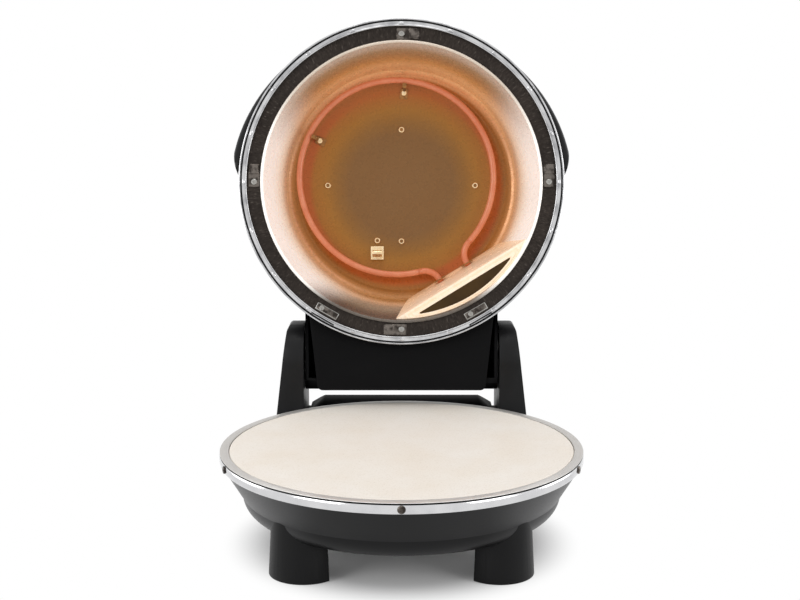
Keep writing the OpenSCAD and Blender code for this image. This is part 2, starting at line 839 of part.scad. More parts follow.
// Brackets and plates on the dark ring. Each is an angle and the side its plate runs to.
bracket_places = [[-90, 1], [90, 1], [0, -1], [180, 1]];
bracket_w = (dome_r - dome_t - dish_r) * 0.6;
bracket_l = rim_r * 0.14;
bracket_t = 1.2;
bracket_r = rim_r - lid_band_w - bracket_w * 0.5 - 1.4;
bracket_screw_in = bracket_l * 0.22;
plate_angles = [60, 120];
plate_l = rim_r * 0.15;
ring_plate_w = bracket_w * 0.64;
ring_plate_t = 1.5;
ring_plate_r = bracket_r + 1.6;

// Start of a length l that begins y away from the screw, on the side the bracket runs to
function run_to(side, y, l) = side > 0 ? y : -y - l;

module ring_brackets() {
    lip = 3.2;
    fold = bracket_screw_in * 1.6;
    raised_l = bracket_l - bracket_screw_in - fold;
    color("#6d645d") lid_place() for (b = bracket_places)
        rotate(b[0]) translate([bracket_r - bracket_w / 2, 0, inner_ring_h - bracket_t]) {
            translate([0, run_to(b[1], -bracket_screw_in, bracket_l), 0]) cube([bracket_w, bracket_l, bracket_t]);
            translate([0, run_to(b[1], fold, 1), bracket_t - lip]) cube([bracket_w, 1, lip]);
            translate([1, run_to(b[1], fold + 0.5, raised_l - 0.5), bracket_t - lip])
                cube([bracket_w - 2, raised_l - 0.5, 1]);
        }
}

module ring_plates() {
    color("#8a817a") lid_place() for (a = plate_angles)
        rotate(a) translate([ring_plate_r - ring_plate_w / 2, -plate_l / 2, inner_ring_h - ring_plate_t])
            cube([ring_plate_w, plate_l, ring_plate_t]);
}

module ring_screws() {
    plate_screw = plate_l / 4;
    color("#a39b94") lid_place() {
        for (b = bracket_places) rotate(b[0]) translate([bracket_r, 0, inner_ring_h - bracket_t])
            mirror([0, 0, 1]) pan_screw(3.2, 2);
        for (a = plate_angles) rotate(a)
            translate([ring_plate_r, plate_screw, inner_ring_h - ring_plate_t])
                mirror([0, 0, 1]) pan_screw(2.8, 1.8);
    }
}

module lid_insulation() {
    color("#dcd7c6") lid_place() intersection() {
        dome_solid(dome_t + 0.5);
        translate([0, 0, dish_h + dish_t + seat_gap]) cylinder(r = dish_floor_r - dish_round, h = 18);
    }
}

// Neck between the arms, and its cover plate

// Side view of the neck round the hinge axis, drawn d inside its outer face and a little too tall
module neck_side(d) {
    reach = rim_r * 0.75;
    r = neck_r - d;
    top = [-r * sin(neck_slope), r * cos(neck_slope) + neck_spare];
    difference() {
        union() {
            circle(r);
            polygon([top, [-reach, top.y - (reach + top.x) * tan(neck_slope)],
                [-reach, -neck_under - d], [r - neck_corner, -neck_under - d], [r - neck_corner, 0]]);
            polygon([[0, 0], [r, 0], [r, neck_corner - neck_under], [0, neck_corner - neck_under]]);
            translate([neck_r - neck_corner, neck_corner - neck_under]) circle(neck_corner - d);
        }
        translate([-far, -neck_under - d - far]) square([2 * far, far]);
    }
}

// The top of the neck falls towards the dome and has rounded edges
module neck_outer(d) {
    top_round = 12;
    half = neck_half - d;
    top = neck_top - d;
    translate([0, pivot_y, pivot_h]) intersection() {
        across(4 * neck_half) neck_side(d);
        rotate([90 + neck_slope, 0, 0]) translate([0, 0, -far]) linear_extrude(2 * far) {
            translate([-half, -far]) square([2 * half, far + top - top_round]);
            translate([top_round - half, -far]) square([2 * (half - top_round), far + top]);
            for (s = [-1, 1]) translate([s * (half - top_round), top - top_round]) circle(top_round);
        }
    }
}

module lid_neck() {
    wall = 3;
    boss_l = 14;
    color("#222223") lid_place() difference() {
        union() {
            difference() {
                neck_outer(0);
                neck_outer(wall);
            }
            for (s = [-1, 1]) translate([s * (neck_half - wall - boss_l / 2 + 1), pivot_y, pivot_h])
                rotate([0, 90, 0]) cylinder(r = pin_r + 5, h = boss_l, center = true);
        }
        dome_seat();
        translate([0, 0, -far + band_h + 1]) cylinder(r = rim_r + 1, h = far);
        translate([0, pivot_y, pivot_h]) rotate([0, 90, 0])
            cylinder(r = pin_r + run_gap, h = 2 * far, center = true);
    }
}

module neck_cover() {
    narrow = neck_half - 12;
    wide = neck_half - 3.5;
    front = -rim_r * 0.3;
    corner = 6;
    color("#151516") lid_place() difference() {
        translate([0, pivot_y, pivot_h - cover_under]) linear_extrude(cover_t - small) {
            polygon([[-wide, front], [wide, front], [narrow, cover_back - corner],
                [narrow - corner, cover_back - corner], [narrow - corner, cover_back],
                [corner - narrow, cover_back], [corner - narrow, cover_back - corner],
                [-narrow, cover_back - corner]]);
            for (s = [-1, 1]) translate([s * (narrow - corner), cover_back - corner]) circle(corner);
        }
        dome_seat();
        translate([0, 0, -1]) cylinder(r = rim_r + 1, h = band_h + 2);
    }
}

// Handle: a tilted crescent round the front half of the dome

handle_tilt = 11.3;
handle_t = 24;
handle_r = rim_r + 11.8;
handle_y = 0.5;
handle_side_h = 18;
handle_end_y = 19;
handle_corner = 50;

module handle_place() {
    translate([0, handle_y, handle_side_h]) rotate([-handle_tilt, 0, 0]) children();
}

// Plan that rounds the crescent's two ends, drawn d inside
module handle_ends(d) {
    corner_y = handle_end_y - handle_corner;
    corner_x = sqrt(pow(handle_r - handle_corner, 2) - pow(corner_y - handle_y, 2)) + 0.3;
    meet_y = handle_y + (corner_y - handle_y) * handle_r / (handle_r - handle_corner);
    translate([-far, meet_y - far]) square([2 * far, far]);
    translate([-corner_x, meet_y - 1]) square([2 * corner_x, handle_end_y - d - meet_y + 1]);
    for (s = [-1, 1]) translate([s * corner_x, corner_y]) circle(handle_corner - d);
}

module handle_slab(d) {
    edge = 8;
    handle_place() translate([0, 0, d]) rotate_extrude() {
        square([handle_r - edge, handle_t - 2 * d]);
        translate([0, edge - d]) square([handle_r - d, handle_t - 2 * edge]);
        for (z = [edge - d, handle_t - edge - d]) translate([handle_r - edge, z]) circle(edge - d, $fn = 48);
    }
}

module lid_handle() {
    wall = 3;
    color("#1d1d1e") lid_place() difference() {
        intersection() {
            handle_slab(0);
            linear_extrude(far) handle_ends(0);
        }
        intersection() {
            handle_slab(wall);
            translate([0, 0, -1]) linear_extrude(far + 2) handle_ends(wall);
        }
        dome_seat();
    }
}

module console_solid(d) {
    half = console_half - d;
    intersection() {
        cylinder(r = panel_front - d, h = 1.5 * panel_h);
        console_place(0) translate([-half, -panel_run, -panel_deep]) linear_extrude(panel_deep - d)
            round_rect([2 * half, panel_run + panel_back - d], panel_round - d);
        handle_place() translate([-2 * half, -2 * rim_r, handle_t + seat_gap - d])
            cube([4 * half, 2 * rim_r, 2 * panel_h]);
    }
}

console_half = 74;
console_wall = 2.5;
panel_run = 60;
panel_round = 14;
panel_deep = 90;
panel_back = 38;
plate_size = [128, 46];
plate_low = 24;

// Thin dial plate on the console, with holes for the spindles and the lamp
module dial_plate() {
    color("#8b8c8e") lid_place() console_place(0) linear_extrude(plate_t) difference() {
        translate([-plate_size.x / 2, -plate_low]) round_rect(plate_size, 5);
        for (s = [-1, 1]) translate([s * knob_offset, 0]) circle(spindle_r + 1);
        translate([0, lens_y]) circle(lens_r + 0.1);
    }
}

module console_place(x) {
    translate([x, panel_y, panel_h]) rotate([panel_slope, 0, 0]) children();
}

module control_console() {
    color("#252526") lid_place() difference() {
        console_solid(0);
        console_solid(console_wall);
        dome_seat();
        for (s = [-1, 1]) console_place(s * knob_offset) cylinder(r = spindle_r + 1, h = 20, center = true);
        console_place(0) translate([0, lens_y, 0]) cylinder(r = lens_r + 0.1, h = 20, center = true);
    }
}

spindle_r = 3;
lens_r = 4;
lens_y = -14;
switch_h = 13;

module switch_body() {
    body = [28, 26, switch_h - seat_gap];
    neck_h = 3.4;
    difference() {
        union() {
            translate([-body.x / 2, -body.y / 2, -switch_h - console_wall]) cube(body);
            translate([0, 0, -console_wall - small - neck_h]) cylinder(r = 2 * spindle_r, h = neck_h);
        }
        translate([0, 0, -switch_h + 1]) cylinder(r = spindle_r + run_gap, h = 2 * switch_h);
    }
}

module thermostat_body() { color("#cfcabc") lid_place() console_place(-knob_offset) switch_body(); }
module timer_body() { color("#c9c4b6") lid_place() console_place(knob_offset) switch_body(); }

module spindle() {
    below = switch_h - 1.5;
    translate([0, 0, -below]) cylinder(r = spindle_r, h = below + knob_h - 4.5);
}

module thermostat_spindle() { color("#b0b0b2") lid_place() console_place(-knob_offset) spindle(); }
module timer_spindle() { color("#b0b0b2") lid_place() console_place(knob_offset) spindle(); }

module indicator_lens() {
    shank_h = 4;
    cap_r = lens_r + 1;
    color("#d9531e") lid_place() console_place(0) translate([0, lens_y, -shank_h]) {
        cylinder(r = lens_r, h = shank_h + plate_t);
        translate([0, 0, shank_h + plate_t]) intersection() {
            translate([0, 0, lens_r - 1 - cap_r - 1]) sphere(cap_r);
            cylinder(r = cap_r, h = cap_r);
        }
    }
}

// Knob with a skirt, a sloping shoulder, a grip bar and a pointer groove
module knob() {
    lift = knob_lift;
    skirt = 3;
    shoulder = 3;
    grip_w = 9;
    pointer_w = 1.6;
    difference() {
        union() {
            translate([0, 0, lift]) cylinder(r = knob_r, h = skirt);
            translate([0, 0, lift + skirt]) cylinder(r1 = knob_r - 1, r2 = knob_r - 3, h = shoulder);
            intersection() {
                translate([0, 0, lift + skirt]) cylinder(r1 = knob_r - 1, r2 = knob_r - 2.5, h = knob_h - skirt);
                translate([-grip_w / 2, -far, 0]) cube([grip_w, 2 * far, far]);
            }
        }
        translate([0, 0, -1]) cylinder(r = spindle_r + run_gap, h = knob_h - 3.2);
        translate([-pointer_w / 2, knob_r * 0.35, lift + knob_h - 1]) cube([pointer_w, knob_r, 4]);
    }
}

module thermostat_knob() { color("#1c1c1d") lid_place() console_place(-knob_offset) knob(); }
module timer_knob() { color("#1c1c1d") lid_place() console_place(knob_offset) knob(); }

base_bowl();
base_band();
stone_ring();
pizza_stone();
lower_pan();
lower_element();
lower_element_clips();
heat_shield();
shield_spacers();
thermal_cutout();
terminal_block();
bottom_cover();
bottom_screws();
front_left_foot();
front_right_foot();
rear_left_foot();
rear_right_foot();
foot_pads();
base_band_screws();
rear_housing();
cord_grommet();
left_arm();
right_arm();
left_hinge_pin();
right_hinge_pin();
lid_dome();
lid_band();
lid_inner_ring();
lid_reflector();
terminal_shield();
upper_element();
element_end_clips();
element_supports();
reflector_screws();
thermostat_sensor();
ring_brackets();
ring_plates();
ring_screws();
lid_insulation();
lid_neck();
neck_cover();
lid_handle();
control_console();
dial_plate();
thermostat_body();
timer_body();
indicator_lens();
thermostat_knob();
timer_knob();
thermostat_spindle();
timer_spindle();
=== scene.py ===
import json
import math

import bmesh
import bpy
from mathutils import Matrix, Vector


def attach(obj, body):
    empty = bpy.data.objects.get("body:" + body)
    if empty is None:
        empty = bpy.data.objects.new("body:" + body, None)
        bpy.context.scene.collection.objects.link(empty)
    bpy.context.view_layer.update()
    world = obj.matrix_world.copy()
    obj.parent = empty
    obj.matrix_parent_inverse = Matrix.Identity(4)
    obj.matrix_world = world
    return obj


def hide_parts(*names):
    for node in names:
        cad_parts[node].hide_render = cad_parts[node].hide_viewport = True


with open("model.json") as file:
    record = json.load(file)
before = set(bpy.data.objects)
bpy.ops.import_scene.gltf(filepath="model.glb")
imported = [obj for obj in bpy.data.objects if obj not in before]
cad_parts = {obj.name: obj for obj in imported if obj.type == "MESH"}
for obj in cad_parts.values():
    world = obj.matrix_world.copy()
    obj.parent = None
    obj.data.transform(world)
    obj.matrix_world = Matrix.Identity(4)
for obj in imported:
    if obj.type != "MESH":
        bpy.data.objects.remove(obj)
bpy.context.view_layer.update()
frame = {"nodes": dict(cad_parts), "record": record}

# Electric pizza maker. Sizes are written in millimetres and turned to metres by mm.
mm = 0.001
nodes = frame["nodes"]
print("frame loaded:", len(nodes), "nodes")

# where the base's axis, the lid's hinge and the control panel stand in the frame
places = {"axisY": -60.2325, "pivotY": 177.0, "pivotZ": 134.0, "pivotH": 44.5, "openAngle": 98.0,
          "panelY": -128.0, "panelH": 91.0, "panelSlope": 15.0, "knobOffset": 36.0}
# heights and radii that several pieces share
rim = {"radius": 163.5, "height": 88.5, "bandTop": 86.7, "bandBottom": 79.2, "stoneRadius": 155.0,
       "innerRingHeight": 5.0, "dishRadius": 140.0, "dishDepth": 57.0}

baseMatrix = Matrix.Translation((0, places["axisY"] * mm, 0))
lidMatrix = (Matrix.Translation((0, (places["axisY"] + places["pivotY"]) * mm, places["pivotZ"] * mm))
             @ Matrix.Rotation(math.radians(-places["openAngle"]), 4, "X")
             @ Matrix.Translation((0, -places["pivotY"] * mm, -places["pivotH"] * mm)))
panelMatrix = (lidMatrix @ Matrix.Translation((0, places["panelY"] * mm, places["panelH"] * mm))
               @ Matrix.Rotation(math.radians(places["panelSlope"]), 4, "X"))


def toLinear(hexColour):
    channels = [int(hexColour[i:i + 2], 16) / 255 for i in (1, 3, 5)]
    return [c / 12.92 if c <= 0.04045 else ((c + 0.055) / 1.055) ** 2.4 for c in channels] + [1.0]


def addNode(material, kind, settings=None, links=None):
    node = material.node_tree.nodes.new(kind)
    for key, value in (settings or {}).items():
        if key == "stops":
            ramp = node.color_ramp
            while len(ramp.elements) < len(value):
                ramp.elements.new(0.5)
            for element, (position, colour) in zip(ramp.elements, value):
                element.position = position
                element.color = toLinear(colour)
        elif isinstance(key, int) or (key in node.inputs and not hasattr(node, key)):
            node.inputs[key].default_value = value
        else:
            setattr(node, key, value)
    for socket, source in (links or {}).items():
        material.node_tree.links.new(source, node.inputs[socket])
    return node


def addRings(material, radius, stops):
    # colours by the distance from the piece's axis, in millimetres
    reach = stops[-1][0]
    share = addNode(material, "ShaderNodeMath", {"operation": "DIVIDE", 1: reach * mm}, {0: radius})
    return addNode(material, "ShaderNodeValToRGB", {"stops": [(at / reach, shade) for at, shade in stops]},
                   {"Fac": share.outputs["Value"]}).outputs["Color"]


def makeMaterial(name, sockets, layers=(), matrix=None, around=False, rings=None, glow=None):
    # sockets are the shader's constants; each layer is a noise, or a fade along an axis, that moves colour,
    # roughness or height; around wraps the pattern round the piece's axis at that radius; rings colours it
    # by the distance from that axis, and glow gives it light by that distance, fading out along an axis
    material = bpy.data.materials.new(name)
    material.use_nodes = True
    material.node_tree.nodes.clear()
    shader = addNode(material, "ShaderNodeBsdfPrincipled", sockets)
    addNode(material, "ShaderNodeOutputMaterial", links={"Surface": shader.outputs["BSDF"]})
    coordinates = addNode(material, "ShaderNodeTexCoord").outputs["Object"]
    if matrix:
        turn = matrix.inverted()
        coordinates = addNode(material, "ShaderNodeMapping",
                              {"Location": turn.to_translation(), "Rotation": turn.to_euler()},
                              {"Vector": coordinates}).outputs["Vector"]
    colour, rough, normal = None, None, None
    axes = addNode(material, "ShaderNodeSeparateXYZ", links={"Vector": coordinates})
    flat = addNode(material, "ShaderNodeMapping", {"Scale": (1, 1, 0)}, {"Vector": coordinates})
    radius = addNode(material, "ShaderNodeVectorMath", {"operation": "LENGTH"},
                     {0: flat.outputs["Vector"]}).outputs["Value"]
    if rings:
        colour = addRings(material, radius, rings)
    if around:
        frontwards = addNode(material, "ShaderNodeMath", {"operation": "MULTIPLY", 1: -1.0},
                             {0: axes.outputs["Y"]})
        angle = addNode(material, "ShaderNodeMath", {"operation": "ARCTAN2"},
                        {0: axes.outputs["X"], 1: frontwards.outputs["Value"]})
        arc = addNode(material, "ShaderNodeMath", {"operation": "MULTIPLY", 1: around * mm},
                      {0: angle.outputs["Value"]})
        coordinates = addNode(material, "ShaderNodeCombineXYZ", links={
            "X": arc.outputs["Value"], "Y": radius, "Z": axes.outputs["Z"]}).outputs["Vector"]
    for layer in layers:
        if "along" in layer:
            axis, low, high = layer["along"]
            spread = addNode(material, "ShaderNodeMapRange",
                             {"interpolation_type": "SMOOTHSTEP", "From Min": low * mm,
                              "From Max": high * mm}, {"Value": axes.outputs[axis]}).outputs["Result"]
        else:
            spot = addNode(material, "ShaderNodeMapping", {"Scale": layer.get("stretch", (1, 1, 1))},
                           {"Vector": coordinates}).outputs["Vector"]
            noise = addNode(material, "ShaderNodeTexNoise",
                            {"Scale": 1 / (layer["size"] * mm), "Detail": layer.get("detail", 2.0)},
                            {"Vector": spot}).outputs["Fac"]
            spread = addNode(material, "ShaderNodeMapRange",
                             {"From Min": layer.get("low", 0.3), "From Max": layer.get("high", 0.7)},
                             {"Value": noise}).outputs["Result"]
        if "colour" in layer:
            share = addNode(material, "ShaderNodeMath", {"operation": "MULTIPLY", 1: layer["amount"]},
                            {0: spread}).outputs["Value"]
            mix = addNode(material, "ShaderNodeMix", {"data_type": "RGBA", 6: sockets["Base Color"]},
                          {0: share})
            if isinstance(layer["colour"], str):
                mix.inputs[7].default_value = toLinear(layer["colour"])
            else:
                material.node_tree.links.new(addRings(material, radius, layer["colour"]), mix.inputs[7])
            if colour:
                material.node_tree.links.new(colour, mix.inputs[6])
            colour = mix.outputs[2]
        if "rough" in layer:
            low, high = layer["rough"]
            rough = addNode(material, "ShaderNodeMapRange", {"To Min": low, "To Max": high},
                            {"Value": spread}).outputs["Result"]
        if "bump" in layer:
            links = {"Height": noise}
            if normal:
                links["Normal"] = normal
            normal = addNode(material, "ShaderNodeBump",
                             {"Strength": layer.get("strength", 0.5), "Distance": layer["bump"] * mm},
                             links).outputs["Normal"]
    light = None
    if glow:
        light = addRings(material, radius, glow["stops"])
        for axis, low, high in glow["fades"]:
            fade = addNode(material, "ShaderNodeMapRange",
                           {"interpolation_type": "SMOOTHSTEP", "From Min": low * mm, "From Max": high * mm},
                           {"Value": axes.outputs[axis]})
            light = addNode(material, "ShaderNodeMix", {"data_type": "RGBA", 7: (0, 0, 0, 1)},
                            {0: fade.outputs["Result"], 6: light}).outputs[2]
    for socket, source in (("Base Color", colour), ("Roughness", rough), ("Normal", normal),
                           ("Emission Color", light)):
        if source:
            material.node_tree.links.new(source, shader.inputs[socket])
    return material


# arms and console: near-black nylon with a soft broad highlight and the even grain of a spark-eroded mould
mouldedShell = makeMaterial(
    "mouldedBlackNylon",
    {"Base Color": toLinear("#0f0f10"), "Roughness": 0.42, "IOR": 1.5,
     "Specular IOR Level": 0.2},
    [{"size": 0.9, "bump": 0.05, "strength": 0.35, "rough": (0.36, 0.48)},
     {"size": 45, "colour": "#161617", "amount": 0.6}])
# neck and rear housing: the same nylon with a dead matt texture that swallows light
mattShell = makeMaterial(
    "texturedBlackNylon",
    {"Base Color": toLinear("#070708"), "Roughness": 0.6, "IOR": 1.45,
     "Specular IOR Level": 0.1},
    [{"size": 0.8, "bump": 0.06, "strength": 0.5, "rough": (0.52, 0.68)},
     {"size": 40, "colour": "#0b0b0c", "amount": 0.6}])
# feet: smooth black nylon, a little less dull than the neck
footShell = makeMaterial(
    "smoothBlackNylon",
    {"Base Color": toLinear("#0b0b0c"), "Roughness": 0.45, "IOR": 1.5,
     "Specular IOR Level": 0.16},
    [{"size": 0.9, "bump": 0.03, "strength": 0.3, "rough": (0.4, 0.5)},
     {"size": 40, "colour": "#111112", "amount": 0.6}])
# grooves between plated pieces: a black fill standing in for their shade, painted shade
grooveShadeFill = makeMaterial(
    "blackGrooveShadeFill",
    {"Base Color": toLinear("#060606"), "Roughness": 0.5, "IOR": 1.45,
     "Specular IOR Level": 0.15},
    [{"size": 6, "rough": (0.42, 0.58)}, {"size": 0.9, "bump": 0.02, "strength": 0.3}])
# bowl: charcoal, smoother than the arms, so that light runs round it in one band; its left and right ends are
# painted lighter, painted highlights standing in for the white floor's reflection
bowlShell = makeMaterial(
    "mouldedCharcoalPhenolic",
    {"Base Color": toLinear("#0b0b0c"), "Roughness": 0.36, "IOR": 1.52,
     "Specular IOR Level": 0.18},
    [{"along": ("X", -60, -140), "colour": "#4a4a4b", "amount": 0.85},
     {"along": ("X", 60, 140), "colour": "#424243", "amount": 0.85},
     {"size": 0.8, "bump": 0.03, "strength": 0.3, "rough": (0.31, 0.41)},
     {"size": 60, "colour": "#161617", "amount": 0.3}])
# handle and knobs: a deeper black with soft reflections, for what the fingers turn and hold
glossShell = makeMaterial(
    "polishedBlackPhenolic",
    {"Base Color": toLinear("#0b0b0c"), "Roughness": 0.28, "IOR": 1.5,
     "Specular IOR Level": 0.2},
    [{"size": 30, "rough": (0.22, 0.34)},
     {"size": 1.2, "bump": 0.02, "strength": 0.2}])
# dome: baked enamel on steel, black with faint orange-peel
bakedEnamel = makeMaterial(
    "sprayedBlackEnamel",
    {"Base Color": toLinear("#141415"), "Roughness": 0.26, "IOR": 1.5,
     "Specular IOR Level": 0.4},
    [{"size": 1.6, "bump": 0.03, "strength": 0.3},
     {"size": 40, "rough": (0.22, 0.33)}])
# base band: bright, nearly a mirror, with haze that was wiped round the band
platedTrim = makeMaterial(
    "platedChromium",
    {"Base Color": toLinear("#d9d9da"), "Metallic": 1.0, "Roughness": 0.12},
    [{"size": 1.4, "stretch": (0.04, 1, 1), "rough": (0.07, 0.2)},
     {"size": 18, "colour": "#bdbdc0", "amount": 0.5}], baseMatrix, 163)
# lid band: the same plating, duller and stained by the heat
platedLidTrim = makeMaterial(
    "wornPlatedChromium",
    {"Base Color": toLinear("#cfcfd0"), "Metallic": 1.0, "Roughness": 0.16},
    [{"size": 1.1, "stretch": (0.05, 1, 1), "rough": (0.1, 0.3)},
     {"size": 7, "stretch": (0.5, 1, 1), "colour": "#8f8f92", "amount": 0.7, "low": 0.42}],
    lidMatrix, 160)
# ring round the stone: brushed stainless, grey, with a grain that runs with the ring; its front part is
# painted near-white, a painted highlight
pressedRing = makeMaterial(
    "brushedStainlessSteel",
    {"Base Color": toLinear("#c6c3bf"), "Metallic": 0.45, "Roughness": 0.36},
    [{"along": ("Y", -70, -145), "colour": "#f3f1ee", "amount": 0.9},
     {"size": 0.8, "stretch": (0.03, 1, 1), "rough": (0.3, 0.46), "bump": 0.01},
     {"size": 25, "colour": "#b3afaa", "amount": 0.3}], baseMatrix, 159)
# the stone: warm cream, dull, with sand-sized speckle and faint cloudy patches
bakingStone = makeMaterial(
    "castCordierite",
    {"Base Color": toLinear("#f5efe7"), "Roughness": 0.82, "IOR": 1.5},
    [{"size": 55, "colour": "#eee3d4", "amount": 0.55},
     {"size": 1.1, "detail": 4.0, "colour": "#cdbfa9", "amount": 0.35, "low": 0.52, "high": 0.72},
     {"size": 0.7, "bump": 0.12, "strength": 0.4}])
# screws, pins and plates: dull silver zinc with cloudy passivation
zincPlate = makeMaterial(
    "zincPlatedSteel",
    {"Base Color": toLinear("#a7a5a1"), "Metallic": 1.0, "Roughness": 0.34},
    [{"size": 4, "colour": "#8d8a83", "amount": 0.5, "rough": (0.28, 0.44)}])
# brackets and plate faces on the dark ring, rim screws: oven-darkened steel with worn bright spots
darkenedSteel = makeMaterial(
    "ovenDarkenedSteel",
    {"Base Color": toLinear("#6f6862"), "Metallic": 0.95, "Roughness": 0.22},
    [{"size": 7, "colour": "#2a2522", "amount": 0.9, "low": 0.42, "high": 0.58},
     {"size": 5, "rough": (0.16, 0.34)}])
# steel that heat has turned to straw: the reflector's screws and the sensor's plate
heatedSteel = makeMaterial(
    "strawTintedSteel",
    {"Base Color": toLinear("#f2dcb6"), "Metallic": 0.9, "Roughness": 0.2},
    [{"size": 3, "colour": "#d9ae72", "amount": 0.6, "rough": (0.14, 0.28)}])
# clips, supports and rivets beside the heater: the same steel burnt brown
burntSteel = makeMaterial(
    "burntBrownSteel",
    {"Base Color": toLinear("#a9743c"), "Metallic": 0.6, "Roughness": 0.36},
    [{"size": 2.4, "colour": "#5e3c1d", "amount": 0.8, "rough": (0.28, 0.44)}])
# galvanised inner sheet, only seen through the slots
galvanisedSheet = makeMaterial(
    "galvanisedSheet",
    {"Base Color": toLinear("#b3b2ae"), "Metallic": 1.0, "Roughness": 0.4},
    [{"size": 12, "detail": 1.0, "colour": "#8f8e8a", "amount": 0.6, "rough": (0.34, 0.5)}])
# soft rubber: near black, dull
softRubber = makeMaterial(
    "mouldedSiliconeRubber",
    {"Base Color": toLinear("#141414"), "Roughness": 0.75, "IOR": 1.41},
    [{"size": 1.4, "bump": 0.05, "strength": 0.4}, {"size": 9, "rough": (0.68, 0.82)}])
# unglazed steatite of the terminal block and the cut-out
steatite = makeMaterial(
    "pressedSteatite",
    {"Base Color": toLinear("#e6e0d2"), "Roughness": 0.7, "IOR": 1.5},
    [{"size": 1.5, "bump": 0.05, "colour": "#d6cdbb", "amount": 0.4}])
# mineral felt over the reflector
mineralFelt = makeMaterial(
    "pressedMineralFelt",
    {"Base Color": toLinear("#d8d2bf"), "Roughness": 0.95},
    [{"size": 2.5, "detail": 5.0, "bump": 0.6, "colour": "#bdb49a", "amount": 0.6}])
# heat-proof plastic of the switch bodies
switchPlastic = makeMaterial(
    "mouldedPolyamide",
    {"Base Color": toLinear("#c9c4b4"), "Roughness": 0.5, "IOR": 1.5},
    [{"size": 0.8, "bump": 0.03, "strength": 0.3}, {"size": 14, "rough": (0.44, 0.56)}])
# cold sheathed heater: grey-brown oxide
coldElement = makeMaterial(
    "oxidisedHeaterSheath",
    {"Base Color": toLinear("#5c554f"), "Metallic": 0.9, "Roughness": 0.45},
    [{"size": 6, "colour": "#463d36", "amount": 0.6, "rough": (0.4, 0.55)}])
# hot sheathed heater: dull salmon with a little light of its own
hotElement = makeMaterial(
    "glowingHeaterSheath",
    {"Base Color": toLinear("#c4714c"), "Roughness": 0.3,
     "Emission Color": toLinear("#e0532c"), "Emission Strength": 0.12},
    [{"size": 11, "colour": "#d08a66", "amount": 0.6}, {"size": 3, "rough": (0.24, 0.38)}])
# lamp cap: amber, clear enough to show depth
amberCap = makeMaterial(
    "mouldedAmberPolycarbonate",
    {"Base Color": toLinear("#e0621c"), "Roughness": 0.12, "IOR": 1.58,
     "Transmission Weight": 0.35}, [{"size": 1.5, "bump": 0.02, "strength": 0.3}])
# printing ink of the dial's ticks and numbers, and the inlay in the knobs
dialInk = makeMaterial(
    "screenPrintedInk", {"Base Color": toLinear("#f2f2ee"), "Roughness": 0.6},
    [{"size": 0.7, "bump": 0.01, "strength": 0.3}, {"size": 6, "rough": (0.52, 0.66)}])
# dial plate: fine brushed aluminium, the grain runs from side to side
dialSheet = makeMaterial(
    "brushedAnodisedAluminium",
    {"Base Color": toLinear("#3a3b3d"), "Metallic": 1.0, "Roughness": 0.36},
    [{"size": 0.7, "stretch": (0.03, 1, 1), "rough": (0.28, 0.46), "bump": 0.01},
     {"size": 30, "colour": "#303133", "amount": 0.5}], panelMatrix)
# dark ring in the lid: brown-black from heat, scratched across by the trimming tool
bluedSteel = makeMaterial(
    "heatBluedSteel",
    {"Base Color": toLinear("#332d29"), "Metallic": 0.85, "Roughness": 0.42},
    [{"size": 28, "colour": "#403934", "amount": 0.9},
     {"size": 1.1, "stretch": (1, 0.35, 1), "detail": 4.0, "colour": "#211c19", "amount": 0.8},
     {"size": 0.9, "stretch": (1, 0.2, 1), "detail": 5.0, "colour": "#6b635c", "amount": 0.6,
      "low": 0.6, "high": 0.72},
     {"size": 0.7, "stretch": (1, 0.1, 1), "detail": 3.0, "rough": (0.32, 0.55), "bump": 0.02}],
    lidMatrix, 149)
# the reflector: polished aluminium, cream on the walls; brown in the middle, partly baked tint and partly a
# painted reflection of the dark room; a painted orange glow round the heater and at the foot of the wall;
# painted shade in bands on the wall towards the front and towards the hinge
heatTintAndPaintedLightRings = {
    "floor": [(0, "#7d5832"), (54, "#7c562e"), (68, "#8a5d28"), (79, "#9b6624"), (92, "#a06320"),
              (97, "#ad5620"), (103, "#ae5520"), (107, "#9e5f24"), (111, "#a0672a"), (114.5, "#bd7c40"),
              (117, "#f0b888"), (119, "#d2965a")],
    "side": [(121.5, "#dca872"), (124, "#f6d6b4"), (127, "#fce9d4"), (131, "#fff6ec"), (150, "#fffaf5")],
    "top": [(0, "#7d5832"), (48, "#7d5730"), (66, "#8b5e2a"), (80, "#9a6526"), (98, "#a65a22"),
            (106, "#a55e24"), (111, "#b97034"), (117, "#f6b27a"), (121, "#ffc98c"), (124, "#fcc387"),
            (127.4, "#dfa566"), (130.6, "#c09262"), (134, "#b99a75"), (137.5, "#d8c8b6"), (150, "#efe6dc")],
    "bottom": [(0, "#7d5832"), (80, "#9a6526"), (112, "#a2662c"), (121.5, "#c9955c"), (124.3, "#f0c49a"),
               (127.4, "#b7a28a"), (130.6, "#a19480"), (134, "#7a6f61"), (137, "#5d5650"), (150, "#8a857f")]}
